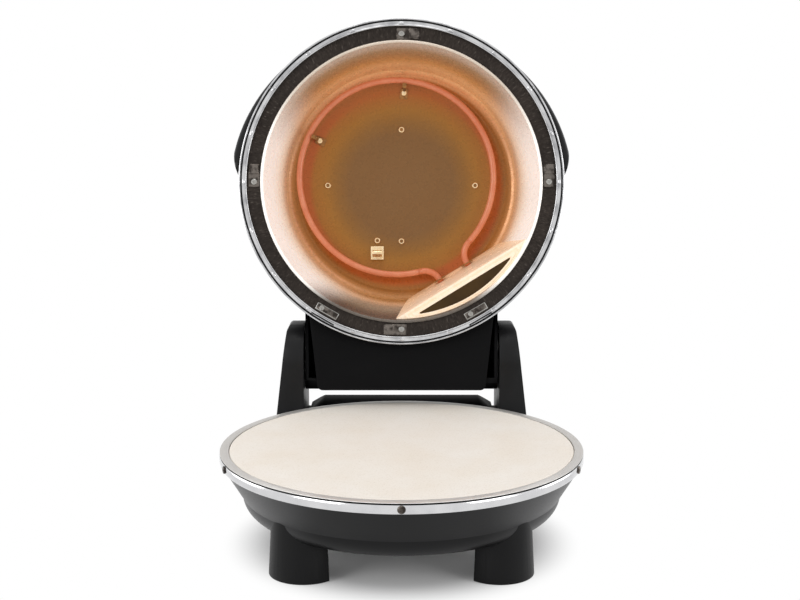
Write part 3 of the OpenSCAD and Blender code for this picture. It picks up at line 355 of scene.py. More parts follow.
# painted glow: the wall is given light of its own at the sides, standing in for the heater's light; it fades
# towards the front and towards the hinge
wallPaintedGlow = {"fades": [("Y", -20, -98), ("Y", 92, 122)],
             "stops": [(0, "#000000"), (117, "#000000"), (122, "#8a837c"), (128, "#b9b9b4"), (134, "#bdbfbe"),
                       (150, "#a9abac")]}
polishedReflector = makeMaterial(
    "polishedAluminiumHeatTintAndPaintedLight",
    {"Base Color": toLinear("#efe4d4"), "Metallic": 0.2, "Roughness": 0.3,
     "Specular IOR Level": 0.3, "Emission Strength": 0.5},
    # these two fades paint shade on the wall towards the front and towards the hinge, and the heater's orange
    # glow near the floor
    [{"along": ("Y", -36, -106), "colour": heatTintAndPaintedLightRings["top"], "amount": 1.0},
     {"along": ("Y", 96, 124), "colour": heatTintAndPaintedLightRings["bottom"], "amount": 1.0},
     {"size": 26, "detail": 3.0, "colour": "#8a6a44", "amount": 0.1},
     {"size": 1.3, "detail": 3.0, "colour": "#5a4530", "amount": 0.14, "low": 0.5,
      "bump": 0.02, "strength": 0.2},
     {"size": 5, "rough": (0.22, 0.36)}], lidMatrix, False,
    heatTintAndPaintedLightRings["floor"] + heatTintAndPaintedLightRings["side"], wallPaintedGlow)
# shield over the heater's ends: the same polished sheet, with a faint light of its own and yellower towards
# the heater, a painted glow standing in for the heater's light
polishedShield = makeMaterial(
    "polishedAluminiumPaintedGlow",
    {"Base Color": toLinear("#fff0dc"), "Metallic": 0.15, "Roughness": 0.24,
     "Emission Color": toLinear("#ffc78f"), "Emission Strength": 0.14},
    [{"along": ("Z", 16, 58), "colour": "#ffd6a4", "amount": 0.7},
     {"size": 9, "colour": "#f2d3ac", "amount": 0.4, "rough": (0.16, 0.3)},
     {"size": 1.2, "bump": 0.02, "strength": 0.2}], lidMatrix)
# the shield's sunk window: smooth and dark brown, with hardly any shine
smokedSheet = makeMaterial(
    "smokeDarkenedAluminium",
    {"Base Color": toLinear("#4a3517"), "Metallic": 0.0, "Roughness": 0.3,
     "Specular IOR Level": 0.15},
    [{"size": 26, "colour": "#2c1e0c", "amount": 0.8, "rough": (0.24, 0.38)}], lidMatrix)
print("materials made")


def drawProfile(start, moves):
    # edges in the XZ plane from start; a move is a point, or an arc: middle x, middle z, degrees, steps
    bm = bmesh.new()
    first = tip = bm.verts.new((start[0] * mm, 0, start[1] * mm))
    for move in moves:
        if len(move) == 2:
            tip = bmesh.ops.extrude_vert_indiv(bm, verts=[tip])["verts"][0]
            tip.co = (move[0] * mm, 0, move[1] * mm)
        else:
            tip = bmesh.ops.spin(bm, geom=[tip], cent=(move[0] * mm, 0, move[1] * mm), axis=(0, 1, 0),
                                 angle=math.radians(-move[2]), steps=move[3])["geom_last"][0]
    return bm, first, tip


def spinProfile(start, moves, matrix, closed=True, steps=192, edge=0.0):
    bm, first, tip = drawProfile(start, moves)
    if closed:
        bm.edges.new((tip, first))
    bmesh.ops.spin(bm, geom=bm.verts[:] + bm.edges[:], cent=(0, 0, 0), axis=(0, 0, 1), angle=math.tau,
                   steps=steps, use_merge=True)
    bmesh.ops.remove_doubles(bm, verts=bm.verts, dist=0.01 * mm)
    bmesh.ops.recalc_face_normals(bm, faces=bm.faces)
    if edge:
        bevelSharp(bm, edge, 2, 35)
    bmesh.ops.transform(bm, matrix=matrix, verts=bm.verts)
    return bm


def bevelSharp(bm, offset, segments=2, fromAngle=40):
    sharp = [e for e in bm.edges if e.is_manifold and e.calc_face_angle(0) > math.radians(fromAngle)]
    bmesh.ops.bevel(bm, geom=sharp, offset=offset * mm, offset_type="OFFSET", segments=segments,
                    profile=0.5, affect="EDGES", material=-1, clamp_overlap=True)


def keepPiece(name, bm, body, material, replaced=(), smoothAngle=32.0):
    mesh = bpy.data.meshes.new(name)
    bm.to_mesh(mesh)
    bm.free()
    mesh.materials.clear()
    mesh.materials.append(material)
    for polygon in mesh.polygons:
        polygon.use_smooth = True
    mesh.set_sharp_from_angle(angle=math.radians(smoothAngle))
    piece = bpy.data.objects.new(name, mesh)
    bpy.context.scene.collection.objects.link(piece)
    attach(piece, body)
    if replaced:
        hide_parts(*replaced)


def bodyOf(nodeName):
    for body, members in frame["record"]["behaviour"]["bodies"].items():
        if nodeName in members:
            return body


def cutOut(bm, cutters):
    # takes the cutters out of a closed piece
    holders = []
    for label, source in (("whole", bm), ("tools", cutters)):
        mesh = bpy.data.meshes.new(label)
        source.to_mesh(mesh)
        source.free()
        holder = bpy.data.objects.new(label, mesh)
        bpy.context.scene.collection.objects.link(holder)
        holders.append(holder)
    change = holders[0].modifiers.new("cut", "BOOLEAN")
    change.object = holders[1]
    change.operation = "DIFFERENCE"
    change.solver = "EXACT"
    cut = bpy.data.meshes.new_from_object(holders[0].evaluated_get(bpy.context.evaluated_depsgraph_get()))
    result = bmesh.new()
    result.from_mesh(cut)
    for holder in holders:
        bpy.data.objects.remove(holder)
    return result


def mergedCopy(nodeName):
    bm = bmesh.new()
    bm.from_mesh(nodes[nodeName].data)
    bmesh.ops.remove_doubles(bm, verts=bm.verts, dist=0.002 * mm)
    return bm


def dressNode(nodeName, material, edge=0.0, segments=2):
    # a copy of the CAD solid with smooth curves, and its sharp edges rounded by edge millimetres
    bm = mergedCopy(nodeName)
    if edge:
        bmesh.ops.dissolve_limit(bm, angle_limit=math.radians(0.5), verts=bm.verts, edges=bm.edges)
        bevelSharp(bm, edge, segments)
    keepPiece(nodeName + "_skin", bm, bodyOf(nodeName), material, [nodeName])


# bowl: flat bottom, rounded edge, crease and flared cone that ends in a small shoulder under the band
bowl = {"hole": 96.0, "bottom": 32.5, "round": 17.0, "crease": 143.5, "creaseHeight": 49.5, "wall": 2.5,
        "top": 161.5, "shoulderIn": 0.4, "shoulderDown": 0.5, "shoulderUp": 0.2}


def buildBowl():
    inside = bowl["crease"] - bowl["round"]
    top, wall = bowl["top"], bowl["wall"]
    bm = spinProfile((bowl["hole"], bowl["bottom"]), [
        (inside, bowl["bottom"]), (inside, bowl["creaseHeight"], 90, 14),
        (top - bowl["shoulderIn"], rim["bandBottom"] - bowl["shoulderDown"]),
        (top, rim["bandBottom"] + bowl["shoulderUp"]), (top, rim["bandTop"]), (top - wall, rim["bandTop"]),
        (top - wall, rim["bandBottom"]), (bowl["crease"] - wall, bowl["creaseHeight"]),
        (inside, bowl["creaseHeight"], -90, 10), (bowl["hole"], bowl["bottom"] + wall)], baseMatrix)
    keepPiece("bowl_shell", bm, bodyOf("base_bowl"), bowlShell, ["base_bowl"], 24.0)


# base trim: a crowned band, and the stone's ring with a curled lip over a groove above the band; a black fill
# lines the groove as painted shade
baseTrim = {"bulge": 0.6, "bulgeUp": 1.9, "bulgeDown": 1.5, "bandEdge": 0.25, "bandGap": 0.01,
            "stoneGap": 0.4, "ringDepth": 1.0, "ringEdge": 0.12, "lip": 0.55, "lipIn": 0.3,
            "grooveDepth": 2.2, "shadeFillIn": 0.5, "shadeFillGap": 0.02, "shadeFillStep": 0.2, "shadeFillLean": 0.7,
            "shadeFillDown": 0.05}


def buildBaseTrim():
    radius, top, lip = rim["radius"], rim["height"], baseTrim["lip"]
    low, high = rim["bandBottom"], rim["bandTop"]
    inner = bowl["top"] + baseTrim["bandGap"]
    shoulder = radius - baseTrim["bulge"]
    bm = spinProfile((inner, low), [
        (shoulder, low), (radius, low + baseTrim["bulgeUp"]), (radius, high - baseTrim["bulgeDown"]),
        (shoulder, high), (inner, high)], baseMatrix, edge=baseTrim["bandEdge"])
    keepPiece("rim_band", bm, bodyOf("base_band"), platedTrim, ["base_band"], 40.0)
    stoneSide = rim["stoneRadius"] + baseTrim["stoneGap"]
    wallSide = bowl["top"] - bowl["wall"]
    under = top - baseTrim["ringDepth"]
    curl = radius - baseTrim["lipIn"] - lip / 2
    groove = radius - baseTrim["grooveDepth"]
    bm = spinProfile((stoneSide, under), [
        (stoneSide, top), (curl, top), (curl, top - lip / 2, -180, 8), (groove, top - lip), (groove, high),
        (wallSide, high), (wallSide, under)], baseMatrix, edge=baseTrim["ringEdge"])
    keepPiece("stone_rim", bm, bodyOf("stone_ring"), pressedRing, ["stone_ring"], 40.0)
    # a black fill lining the groove under the lip: painted shade
    edge = radius - baseTrim["shadeFillIn"]
    shadeFillLow = high + baseTrim["shadeFillGap"]
    shadeFillHigh = top - lip - baseTrim["shadeFillDown"]
    bm = spinProfile((groove, shadeFillLow), [
        (edge, shadeFillLow), (edge, high + baseTrim["shadeFillStep"]), (edge - baseTrim["shadeFillLean"], shadeFillHigh),
        (groove, shadeFillHigh)], baseMatrix)
    keepPiece("rim_groove_shade", bm, bodyOf("stone_ring"), grooveShadeFill)


# stone: a plain disc with softened edges
stone = {"thickness": 13.0, "edge": 1.5, "steps": 160}


def buildStone():
    low = rim["height"] - stone["thickness"]
    radius, edge = rim["stoneRadius"], stone["edge"]
    bm = spinProfile((0, low), [(radius - edge, low), (radius - edge, low + edge, 90, 5),
                                (radius, rim["height"] - edge), (radius - edge, rim["height"] - edge, 90, 5),
                                (0, rim["height"])], baseMatrix, closed=False, steps=stone["steps"])
    keepPiece("baking_stone", bm, bodyOf("pizza_stone"), bakingStone, ["pizza_stone"])


# dome: skirt, shoulder and crown in one even sheet
dome = {"radius": 160.5, "skirt": 2.9, "shoulder": 62.0, "crown": 330.0, "height": 92.0, "sheet": 1.5}


def buildDome():
    middle = dome["radius"] - dome["shoulder"]
    crownZ = dome["height"] - dome["crown"]
    shoulderZ = crownZ + math.sqrt((dome["crown"] - dome["shoulder"]) ** 2 - middle ** 2)
    crownAngle = math.degrees(math.asin(middle / (dome["crown"] - dome["shoulder"])))
    bm = spinProfile((dome["radius"], dome["skirt"]),
                     [(dome["radius"], shoulderZ), (middle, shoulderZ, 90 - crownAngle, 18),
                      (0, crownZ, crownAngle, 14), (0, dome["height"] - dome["sheet"]),
                      (0, crownZ, -crownAngle, 12), (middle, shoulderZ, crownAngle - 90, 14),
                      (dome["radius"] - dome["sheet"], dome["skirt"])], lidMatrix)
    keepPiece("dome_shell", bm, bodyOf("lid_dome"), bakedEnamel, ["lid_dome"])


# lid band: outer lip, groove, stepped face and inner lip, with pressed dimples and two slots; a black fill
# lines the groove as painted shade
lidTrim = {"inside": 155.5, "lip": 1.7, "groove": 1.3, "face": 0.7, "floor": 1.9, "hem": 0.5,
           "innerRoll": 0.6, "innerLip": 1.1, "innerStep": 1.7, "slope": 0.4, "outerRoll": 0.7,
           "skirt": 6.0, "skirtTop": 7.5, "skirtIn": 0.5, "domeGap": 0.01, "flange": 1.0,
           "flangeTop": 5.0, "shadeFillLow": 0.75, "shadeFillGap": 0.02, "dimples": 20, "dimpleIn": 2.1,
           "dimpleSize": (1.25, 3.2, 0.675), "slots": (60, 120), "slotIn": 1.0, "slotSize": (1.5, 26.0, 8.0)}


def buildLidBand():
    radius, inside, face, hem = rim["radius"], lidTrim["inside"], lidTrim["face"], lidTrim["hem"]
    outer = radius - lidTrim["lip"]
    inner = outer - lidTrim["groove"]
    innerRoll, mouth = lidTrim["innerRoll"], radius - lidTrim["outerRoll"]
    domeSide = dome["radius"] + lidTrim["domeGap"]
    domeFoot = dome["skirt"] - lidTrim["domeGap"]
    flange = inside + lidTrim["flange"]
    bm = spinProfile((inside, hem), [
        (inside + innerRoll, innerRoll, 90, 4), (inside + lidTrim["innerLip"], 0),
        (inside + lidTrim["innerStep"], face), (inner - lidTrim["slope"], face),
        (inner, lidTrim["floor"]), (outer, lidTrim["floor"]), (outer, hem), (outer + lidTrim["slope"], 0),
        (mouth, 0), (mouth, lidTrim["outerRoll"], 90, 5), (radius, lidTrim["skirt"]),
        (radius - lidTrim["skirtIn"], lidTrim["skirtTop"]), (domeSide, lidTrim["skirtTop"]),
        (domeSide, domeFoot), (flange, domeFoot), (flange, lidTrim["flangeTop"]),
        (inside, lidTrim["flangeTop"])], Matrix.Identity(4))
    slots = bmesh.new()
    width, length, depth = lidTrim["slotSize"]
    for angle in lidTrim["slots"]:
        spot = (Matrix.Rotation(math.radians(angle), 4, "Z")
                @ Matrix.Translation(((inner - lidTrim["slotIn"] - width / 2) * mm, 0, 0)))
        bmesh.ops.create_cube(slots, size=1.0,
                              matrix=spot @ Matrix.Diagonal((width * mm, length * mm, depth * mm, 1)))
    bm = cutOut(bm, slots)
    wide, across, proud = lidTrim["dimpleSize"]
    for i in range(lidTrim["dimples"]):
        spot = (Matrix.Rotation(math.tau * i / lidTrim["dimples"], 4, "Z")
                @ Matrix.Translation(((inner - lidTrim["dimpleIn"]) * mm, 0, face * mm)))
        bmesh.ops.create_uvsphere(bm, u_segments=16, v_segments=8, radius=1.0,
                                  matrix=spot @ Matrix.Diagonal((wide * mm, across * mm, proud * mm, 1)))
    bmesh.ops.transform(bm, matrix=lidMatrix, verts=bm.verts)
    keepPiece("lid_trim", bm, bodyOf("lid_band"), platedLidTrim, ["lid_band"], 30.0)
    # a black fill lining the groove between the lips: painted shade
    gap, low = lidTrim["shadeFillGap"], lidTrim["shadeFillLow"]
    bm = spinProfile((inner + gap, low), [(outer - gap, low), (outer - gap, lidTrim["floor"] - gap),
                                          (inner + gap, lidTrim["floor"] - gap)], lidMatrix)
    keepPiece("lid_groove_shade", bm, bodyOf("lid_band"), grooveShadeFill)


# darker faces of the two plates, inside their bright edges
plateFace = {"reach": 149.73, "width": 7.3, "length": 24.5, "height": 3.5, "edge": 0.9, "proud": 0.12}


def buildPlateFaces():
    bm = bmesh.new()
    proud, edge = plateFace["proud"], plateFace["edge"]
    size = (plateFace["width"] - 2 * edge, plateFace["length"] - 2 * edge, proud)
    for angle in lidTrim["slots"]:
        spot = (lidMatrix @ Matrix.Rotation(math.radians(angle), 4, "Z")
                @ Matrix.Translation((plateFace["reach"] * mm, 0, (plateFace["height"] - proud / 2) * mm)))
        bmesh.ops.create_cube(bm, size=1.0, matrix=spot @ Matrix.Diagonal([v * mm for v in size] + [1]))
    keepPiece("plate_faces", bm, bodyOf("ring_plates"), darkenedSteel)


# the flat dark ring, rolled down a little at its inner edge
innerRing = {"dishGap": 0.5, "roll": 0.5, "outside": 158.8, "sheet": 1.2}


def buildInnerRing():
    low, roll = rim["innerRingHeight"], innerRing["roll"]
    inner, outside = rim["dishRadius"] + innerRing["dishGap"], innerRing["outside"]
    top = low + innerRing["sheet"]
    bm = spinProfile((inner, low + roll), [(inner + roll, low + roll, 90, 4), (outside, low), (outside, top),
                                           (inner, top)], lidMatrix)
    keepPiece("dark_ring", bm, bodyOf("lid_inner_ring"), bluedSteel, ["lid_inner_ring"],
              40.0)


# reflector: one pressed sheet with a ridge round its floor, a leaning wall, a flange and a rolled mouth
dish = {"floorRadius": 121.5, "corner": 8.0, "lean": 18.5, "sheet": 0.9, "bead": 1.6, "beadOut": 0.2,
        "ridge": 0.9, "ridgeIn": (7.0, 5.4, 3.6, 2.0), "neck": 3.4, "neckIn": 0.2,
        "mouth": ((1.3, 2.4), (1.4, 1.6)), "flangeLow": 6.2, "flangeHigh": 7.1, "flangeWidth": 9.8,
        "backLift": 3.0}


def buildReflector():
    radius, depth, corner, sheet = rim["dishRadius"], rim["dishDepth"], dish["corner"], dish["sheet"]
    floorEdge, wallTop = dish["floorRadius"] - corner, depth - corner
    lean = math.degrees(math.atan2(dish["lean"], wallTop))

    def wallRadius(height):
        return radius - dish["lean"] * height / wallTop

    ridge = [(floorEdge - inwards, depth - sunk)
             for inwards, sunk in zip(dish["ridgeIn"], (0, dish["ridge"], dish["ridge"], 0))]
    mouth = [(radius - inwards, height) for inwards, height in dish["mouth"]]
    low, high = dish["flangeLow"], dish["flangeHigh"]
    flange = wallRadius(low) + dish["flangeWidth"]
    bm = spinProfile((0, depth), ridge + [
        (floorEdge, depth), (floorEdge, wallTop, lean - 90, 12),
        (wallRadius(dish["neck"]) - dish["neckIn"], dish["neck"])] + mouth + [
        (radius + dish["beadOut"], dish["bead"], 180, 12), (wallRadius(low) + sheet, low), (flange, low),
        (flange, high), (wallRadius(high) + sheet, high),
        (wallRadius(wallTop) + sheet, wallTop + dish["backLift"]), (floorEdge, depth + sheet),
        (0, depth + sheet)], lidMatrix, closed=False)
    keepPiece("dish_skin", bm, bodyOf("lid_reflector"), polishedReflector,
              ["lid_reflector"], 50.0)


# terminal shield: the CAD sheet with softened beads, and a dark window sunk in its frame
shield = {"angle": 58.5, "edge": 121.6, "arc": 133.9, "halfLength": 53.0, "height": 4.75, "sheet": 0.2,
          "bead": 0.35}


def buildShield():
    dressNode("terminal_shield", polishedShield, shield["bead"], 3)
    bm = bmesh.new()
    bmesh.ops.create_circle(bm, cap_ends=True, segments=160, radius=shield["arc"] * mm)
    for corner, direction in (((shield["edge"], 0, 0), (-1, 0, 0)), ((0, shield["halfLength"], 0), (0, 1, 0)),
                              ((0, -shield["halfLength"], 0), (0, -1, 0))):
        bmesh.ops.bisect_plane(bm, geom=bm.verts[:] + bm.edges[:] + bm.faces[:], plane_co=Vector(corner) * mm,
                               plane_no=direction, clear_outer=True)
    made = bmesh.ops.extrude_face_region(bm, geom=bm.faces[:])["geom"]
    bmesh.ops.translate(bm, vec=(0, 0, shield["sheet"] * mm),
                        verts=[item for item in made if isinstance(item, bmesh.types.BMVert)])
    bmesh.ops.recalc_face_normals(bm, faces=bm.faces)
    bmesh.ops.transform(bm, matrix=lidMatrix @ Matrix.Rotation(math.radians(shield["angle"]), 4, "Z")
                        @ Matrix.Translation((0, 0, shield["height"] * mm)), verts=bm.verts)
    keepPiece("shield_window", bm, bodyOf("terminal_shield"), smokedSheet)


# screws: domed heads with a cross recess; sizes are shares of the head's radius and height
screwHead = {"segments": 24, "dome": ((1.0, 0.45), (0.93, 0.75), (0.78, 0.95), (0.62, 1.0)),
             "crossReach": 0.5, "crossHalf": 0.11, "crossDepth": 0.45}


def addScrew(bm, matrix, radius, height, turn):
    head = bmesh.new()
    made = bmesh.ops.create_circle(head, segments=screwHead["segments"], radius=radius * mm)["verts"]
    for reach, level in screwHead["dome"]:
        lip = bmesh.ops.extrude_edge_only(head, edges=[e for e in head.edges
                                                       if all(v in made for v in e.verts)])
        made = [item for item in lip["geom"] if isinstance(item, bmesh.types.BMVert)]
        size = max(v.co.xy.length for v in made)
        for v in made:
            v.co = (v.co.x * reach * radius * mm / size, v.co.y * reach * radius * mm / size,
                    level * height * mm)
    rimEdges = [e for e in head.edges if all(v in made for v in e.verts)]
    arm, half = radius * screwHead["crossReach"] * mm, radius * screwHead["crossHalf"] * mm
    cross = [(-half, arm), (half, arm), (half, half), (arm, half), (arm, -half), (half, -half), (half, -arm),
             (-half, -arm), (-half, -half), (-arm, -half), (-arm, half), (-half, half)]
    corners = [head.verts.new((x, y, height * mm)) for x, y in cross]
    crossEdges = [head.edges.new((a, b)) for a, b in zip(corners, corners[1:] + corners[:1])]
    bmesh.ops.triangle_fill(head, use_beauty=True, edges=rimEdges + crossEdges)
    pit = bmesh.ops.extrude_edge_only(head, edges=crossEdges)["geom"]
    floor = [item for item in pit if isinstance(item, bmesh.types.BMVert)]
    bmesh.ops.translate(head, vec=(0, 0, -screwHead["crossDepth"] * height * mm), verts=floor)
    bmesh.ops.contextual_create(head, geom=[e for e in pit if isinstance(e, bmesh.types.BMEdge)
                                            and all(v in floor for v in e.verts)])
    bmesh.ops.recalc_face_normals(head, faces=head.faces)
    bmesh.ops.transform(head, matrix=matrix @ Matrix.Rotation(math.radians(turn), 4, "Z"), verts=head.verts)
    spare = bpy.data.meshes.new("screw")
    head.to_mesh(spare)
    head.free()
    bm.from_mesh(spare)
    bpy.data.meshes.remove(spare)


def spotOf(matrix, x, y, z):
    # a place whose Z axis points down, for a head that shows from below
    return matrix @ Matrix.Translation((x * mm, y * mm, z * mm)) @ Matrix.Rotation(math.pi, 4, "X")


def turned(matrix, angle):
    return matrix @ Matrix.Rotation(math.radians(angle), 4, "Z")


# each head is its radius and height; the turns differ from screw to screw, as a hand leaves them
screws = {"reflector": [(0, -58.3), (-77.0, 0), (77.0, 0), (0, 58.3), (-25.3, 57.6)],
          "reflectorHead": (3.3, 2.2), "firstTurn": 15, "nextTurn": 37, "rivetHead": (1.9, 1.5),
          "rivetSink": 1.3, "supportMiddle": (-5.2, -7.5), "supportReach": 89.1,
          "supportAngles": (-85, -154), "supportHead": (3.0, 2.0), "supportSink": 1.0,
          "bracketReach": 148.13, "bracketAngles": (-90, 90, 0, 180), "bracketHead": (3.2, 2.0),
          "bracketSink": 1.2, "plateStep": 6.13, "plateHead": (2.8, 1.8), "plateSink": 1.5,
          "bandTurn": 68.5, "bandHeight": 83.3, "bandHead": (3.4, 1.4), "coverCount": 8,
          "coverReach": 100.0, "coverHead": (3.4, 1.8), "coverSink": 1.2}


def buildScrews():
    depth, low = rim["dishDepth"], rim["innerRingHeight"]
    heads, rivets = bmesh.new(), bmesh.new()
    for i, (x, y) in enumerate(screws["reflector"]):
        turn = screws["firstTurn"] + screws["nextTurn"] * i
        addScrew(heads, spotOf(lidMatrix, x, y, depth), *screws["reflectorHead"], turn)
        addScrew(rivets, spotOf(lidMatrix, x, y, depth - screws["rivetSink"]), *screws["rivetHead"], turn)
    for angle in screws["supportAngles"]:
        x = screws["supportMiddle"][0] + screws["supportReach"] * math.cos(math.radians(angle))
        y = screws["supportMiddle"][1] + screws["supportReach"] * math.sin(math.radians(angle))
        addScrew(heads, spotOf(lidMatrix, x, y, depth - screws["supportSink"]), *screws["supportHead"],
                 40 - angle)
    keepPiece("dish_screws", heads, bodyOf("reflector_screws"), heatedSteel,
              ["reflector_screws"], 28.0)
    keepPiece("dish_rivets", rivets, bodyOf("reflector_screws"), burntSteel, (), 28.0)
    bm = bmesh.new()
    for angle in screws["bracketAngles"]:
        spot = spotOf(turned(lidMatrix, angle), screws["bracketReach"], 0, low - screws["bracketSink"])
        addScrew(bm, spot, *screws["bracketHead"], 25 + angle / 3)
    for angle in lidTrim["slots"]:
        spot = spotOf(turned(lidMatrix, angle), plateFace["reach"], screws["plateStep"],
                      low - screws["plateSink"])
        addScrew(bm, spot, *screws["plateHead"], angle)
    keepPiece("bracket_screws", bm, bodyOf("ring_screws"), zincPlate, ["ring_screws"], 28.0)
    bm = bmesh.new()
    for i in range(-2, 3):
        spot = (turned(baseMatrix, i * screws["bandTurn"] - 90)
                @ Matrix.Translation((rim["radius"] * mm, 0, screws["bandHeight"] * mm))
                @ Matrix.Rotation(math.pi / 2, 4, "Y"))
        addScrew(bm, spot, *screws["bandHead"], 30 + 25 * i)
    keepPiece("rim_screws", bm, bodyOf("base_band_screws"), darkenedSteel,
              ["base_band_screws"], 28.0)
    bm = bmesh.new()
    for i in range(screws["coverCount"]):
        spot = spotOf(turned(baseMatrix, (i + 0.5) * 360 / screws["coverCount"]), screws["coverReach"], 0,
                      bowl["bottom"] - screws["coverSink"])
        addScrew(bm, spot, *screws["coverHead"], 31 * i)
    keepPiece("cover_screws", bm, bodyOf("bottom_screws"), zincPlate, ["bottom_screws"],
              28.0)


# dial marks: ticks and numbers for both knobs, printed proud by the thickness of the ink, and the knobs'
# inlaid pointers; a knob has its offset, its sweep and its numbers
dials = {"proud": 0.12, "plateTop": 0.8, "tickFrom": 18.4, "tickTo": 20.6, "tickWidth": 0.6,
         "shortTick": 0.8, "numberAt": 22.4, "numberSize": 3.0,
         "thermostat": (-places["knobOffset"], 270.0, ["0", "1", "2", "3", "4", "5"]),
         "timer": (places["knobOffset"], 300.0, ["0", "5", "10", "15", "20", "25", "30"]),
         "pointerAt": (10.2, 17.55), "pointerSize": (1.3, 8.0, 0.9), "pointerEdge": 0.15}


def addNumber(bm, words, matrix):
    letters = bpy.data.curves.new("number", "FONT")
    letters.body = words
    letters.size = dials["numberSize"] * mm
    letters.align_x = "CENTER"
    letters.align_y = "CENTER"
    letters.extrude = dials["proud"] / 2 * mm
    holder = bpy.data.objects.new("number", letters)
    bpy.context.scene.collection.objects.link(holder)
    mesh = bpy.data.meshes.new_from_object(holder.evaluated_get(bpy.context.evaluated_depsgraph_get()))
    mesh.transform(matrix)
    bm.from_mesh(mesh)
    bpy.data.objects.remove(holder)
    bpy.data.meshes.remove(mesh)


def buildDialMarks():
    for knob in ("thermostat", "timer"):
        offset, sweep, words = dials[knob]
        bm = bmesh.new()
        height = dials["plateTop"] + dials["proud"] / 2
        middle = panelMatrix @ Matrix.Translation((offset * mm, 0, height * mm))
        ticks = (len(words) - 1) * 2
        for i in range(ticks + 1):
            low, high = dials["tickFrom"], dials["tickTo"] - (dials["shortTick"] if i % 2 else 0)
            spot = turned(middle, -sweep * i / ticks) @ Matrix.Translation((0, (low + high) / 2 * mm, 0))
            bmesh.ops.create_cube(bm, size=1.0, matrix=spot @ Matrix.Diagonal(
                (dials["tickWidth"] * mm, (high - low) * mm, dials["proud"] * mm, 1)))
        for i, word in enumerate(words):
            angle = math.radians(90 - sweep * i / (len(words) - 1))
            reach = dials["numberAt"] * mm
            place = Matrix.Translation((reach * math.cos(angle), reach * math.sin(angle), 0))
            addNumber(bm, word, middle @ place)
        keepPiece(knob + "_marks", bm, bodyOf("dial_plate"), dialInk)
        bm = bmesh.new()
        outwards, top = dials["pointerAt"]
        spot = panelMatrix @ Matrix.Translation((offset * mm, outwards * mm, top * mm))
        size = [v * mm for v in dials["pointerSize"]]
        bmesh.ops.create_cube(bm, size=1.0, matrix=spot @ Matrix.Diagonal(size + [1]))
        bevelSharp(bm, dials["pointerEdge"])
        keepPiece(knob + "_pointer", bm, bodyOf(knob + "_knob"), dialInk)


# CAD nodes that keep their own shape: the material, and by how much their sharp edges are rounded
dressed = [
    ("lower_pan", galvanisedSheet, 0.0), ("lower_element", coldElement, 0.0),
    ("lower_element_clips", zincPlate, 0.0), ("heat_shield", galvanisedSheet, 0.0),
    ("shield_spacers", zincPlate, 0.0), ("thermal_cutout", steatite, 0.0), ("terminal_block", steatite, 0.0),
    ("bottom_cover", bakedEnamel, 0.0), ("front_left_foot", footShell, 0.8),
    ("front_right_foot", footShell, 0.8), ("rear_left_foot", footShell, 0.8),
    ("rear_right_foot", footShell, 0.8), ("foot_pads", softRubber, 0.0), ("rear_housing", mattShell, 0.0),
    ("cord_grommet", softRubber, 0.3), ("left_arm", mouldedShell, 1.2), ("right_arm", mouldedShell, 1.2),
    ("left_hinge_pin", zincPlate, 0.3), ("right_hinge_pin", zincPlate, 0.3),
    ("upper_element", hotElement, 0.0), ("element_end_clips", burntSteel, 0.2),
    ("element_supports", burntSteel, 0.15), ("thermostat_sensor", heatedSteel, 0.25),
    ("ring_brackets", darkenedSteel, 0.45), ("ring_plates", zincPlate, 0.4),
    ("lid_insulation", mineralFelt, 0.0), ("lid_neck", mattShell, 0.0), ("neck_cover", mattShell, 0.6),
    ("lid_handle", glossShell, 0.0), ("control_console", mouldedShell, 0.0), ("dial_plate", dialSheet, 0.15),
    ("thermostat_body", switchPlastic, 0.4), ("timer_body", switchPlastic, 0.4),
    ("indicator_lens", amberCap, 0.0), ("thermostat_knob", glossShell, 0.5), ("timer_knob", glossShell, 0.5),
    ("thermostat_spindle", zincPlate, 0.0), ("timer_spindle", zincPlate, 0.0)]
for nodeName, material, edge in dressed:
    dressNode(nodeName, material, edge)
print("CAD nodes dressed:", len(dressed))
buildBowl()
buildBaseTrim()
buildStone()
print("base pieces made")
buildDome()
buildLidBand()
buildInnerRing()
buildReflector()
buildShield()
buildPlateFaces()
print("lid pieces made")
buildScrews()
buildDialMarks()
print("screws and dial marks made")

# studio: white paper under a white room, soft light from three sides
studio = {"floorSize": 12.0, "floorColour": "#f2f2f2", "floorLift": 0.02, "shadowFrom": 0.105,
          "shadowTo": 0.165, "worldLight": 0.5, "lampAim": (0, 0, 0.2)}
# each lamp is its place in metres, its watts and its width
lamps = {"key": ((-1.5, -1.3, 0.75), 12.0, 1.0), "fill": ((1.6, -1.2, 0.7), 10.0, 1.0),
         "top": ((0, -0.2, 2.1), 11.0, 1.2), "leftRim": ((-1.2, 0.2, 0.25), 4.0, 0.6),
         "rightRim": ((1.2, 0.2, 0.25), 3.0, 0.6)}


def addLamp(name, place, aim, power, size):
    lamp = bpy.data.lights.new(name, "AREA")
    lamp.energy = power
    lamp.size = size
    holder = bpy.data.objects.new(name, lamp)
    holder.location = place
    holder.rotation_euler = (Vector(aim) - Vector(place)).to_track_quat("-Z", "Y").to_euler()
    bpy.context.scene.collection.objects.link(holder)


def addWhiteRays(material):
    # 1 for what the camera sees directly, in a mirror or through glass
    rays = addNode(material, "ShaderNodeLightPath")
    seen = addNode(material, "ShaderNodeMath", {"operation": "MAXIMUM"},
                   {0: rays.outputs["Is Camera Ray"], 1: rays.outputs["Is Transmission Ray"]})
    return addNode(material, "ShaderNodeMath", {"operation": "MAXIMUM"},
                   {0: seen.outputs["Value"], 1: rays.outputs["Is Glossy Ray"]}).outputs["Value"]


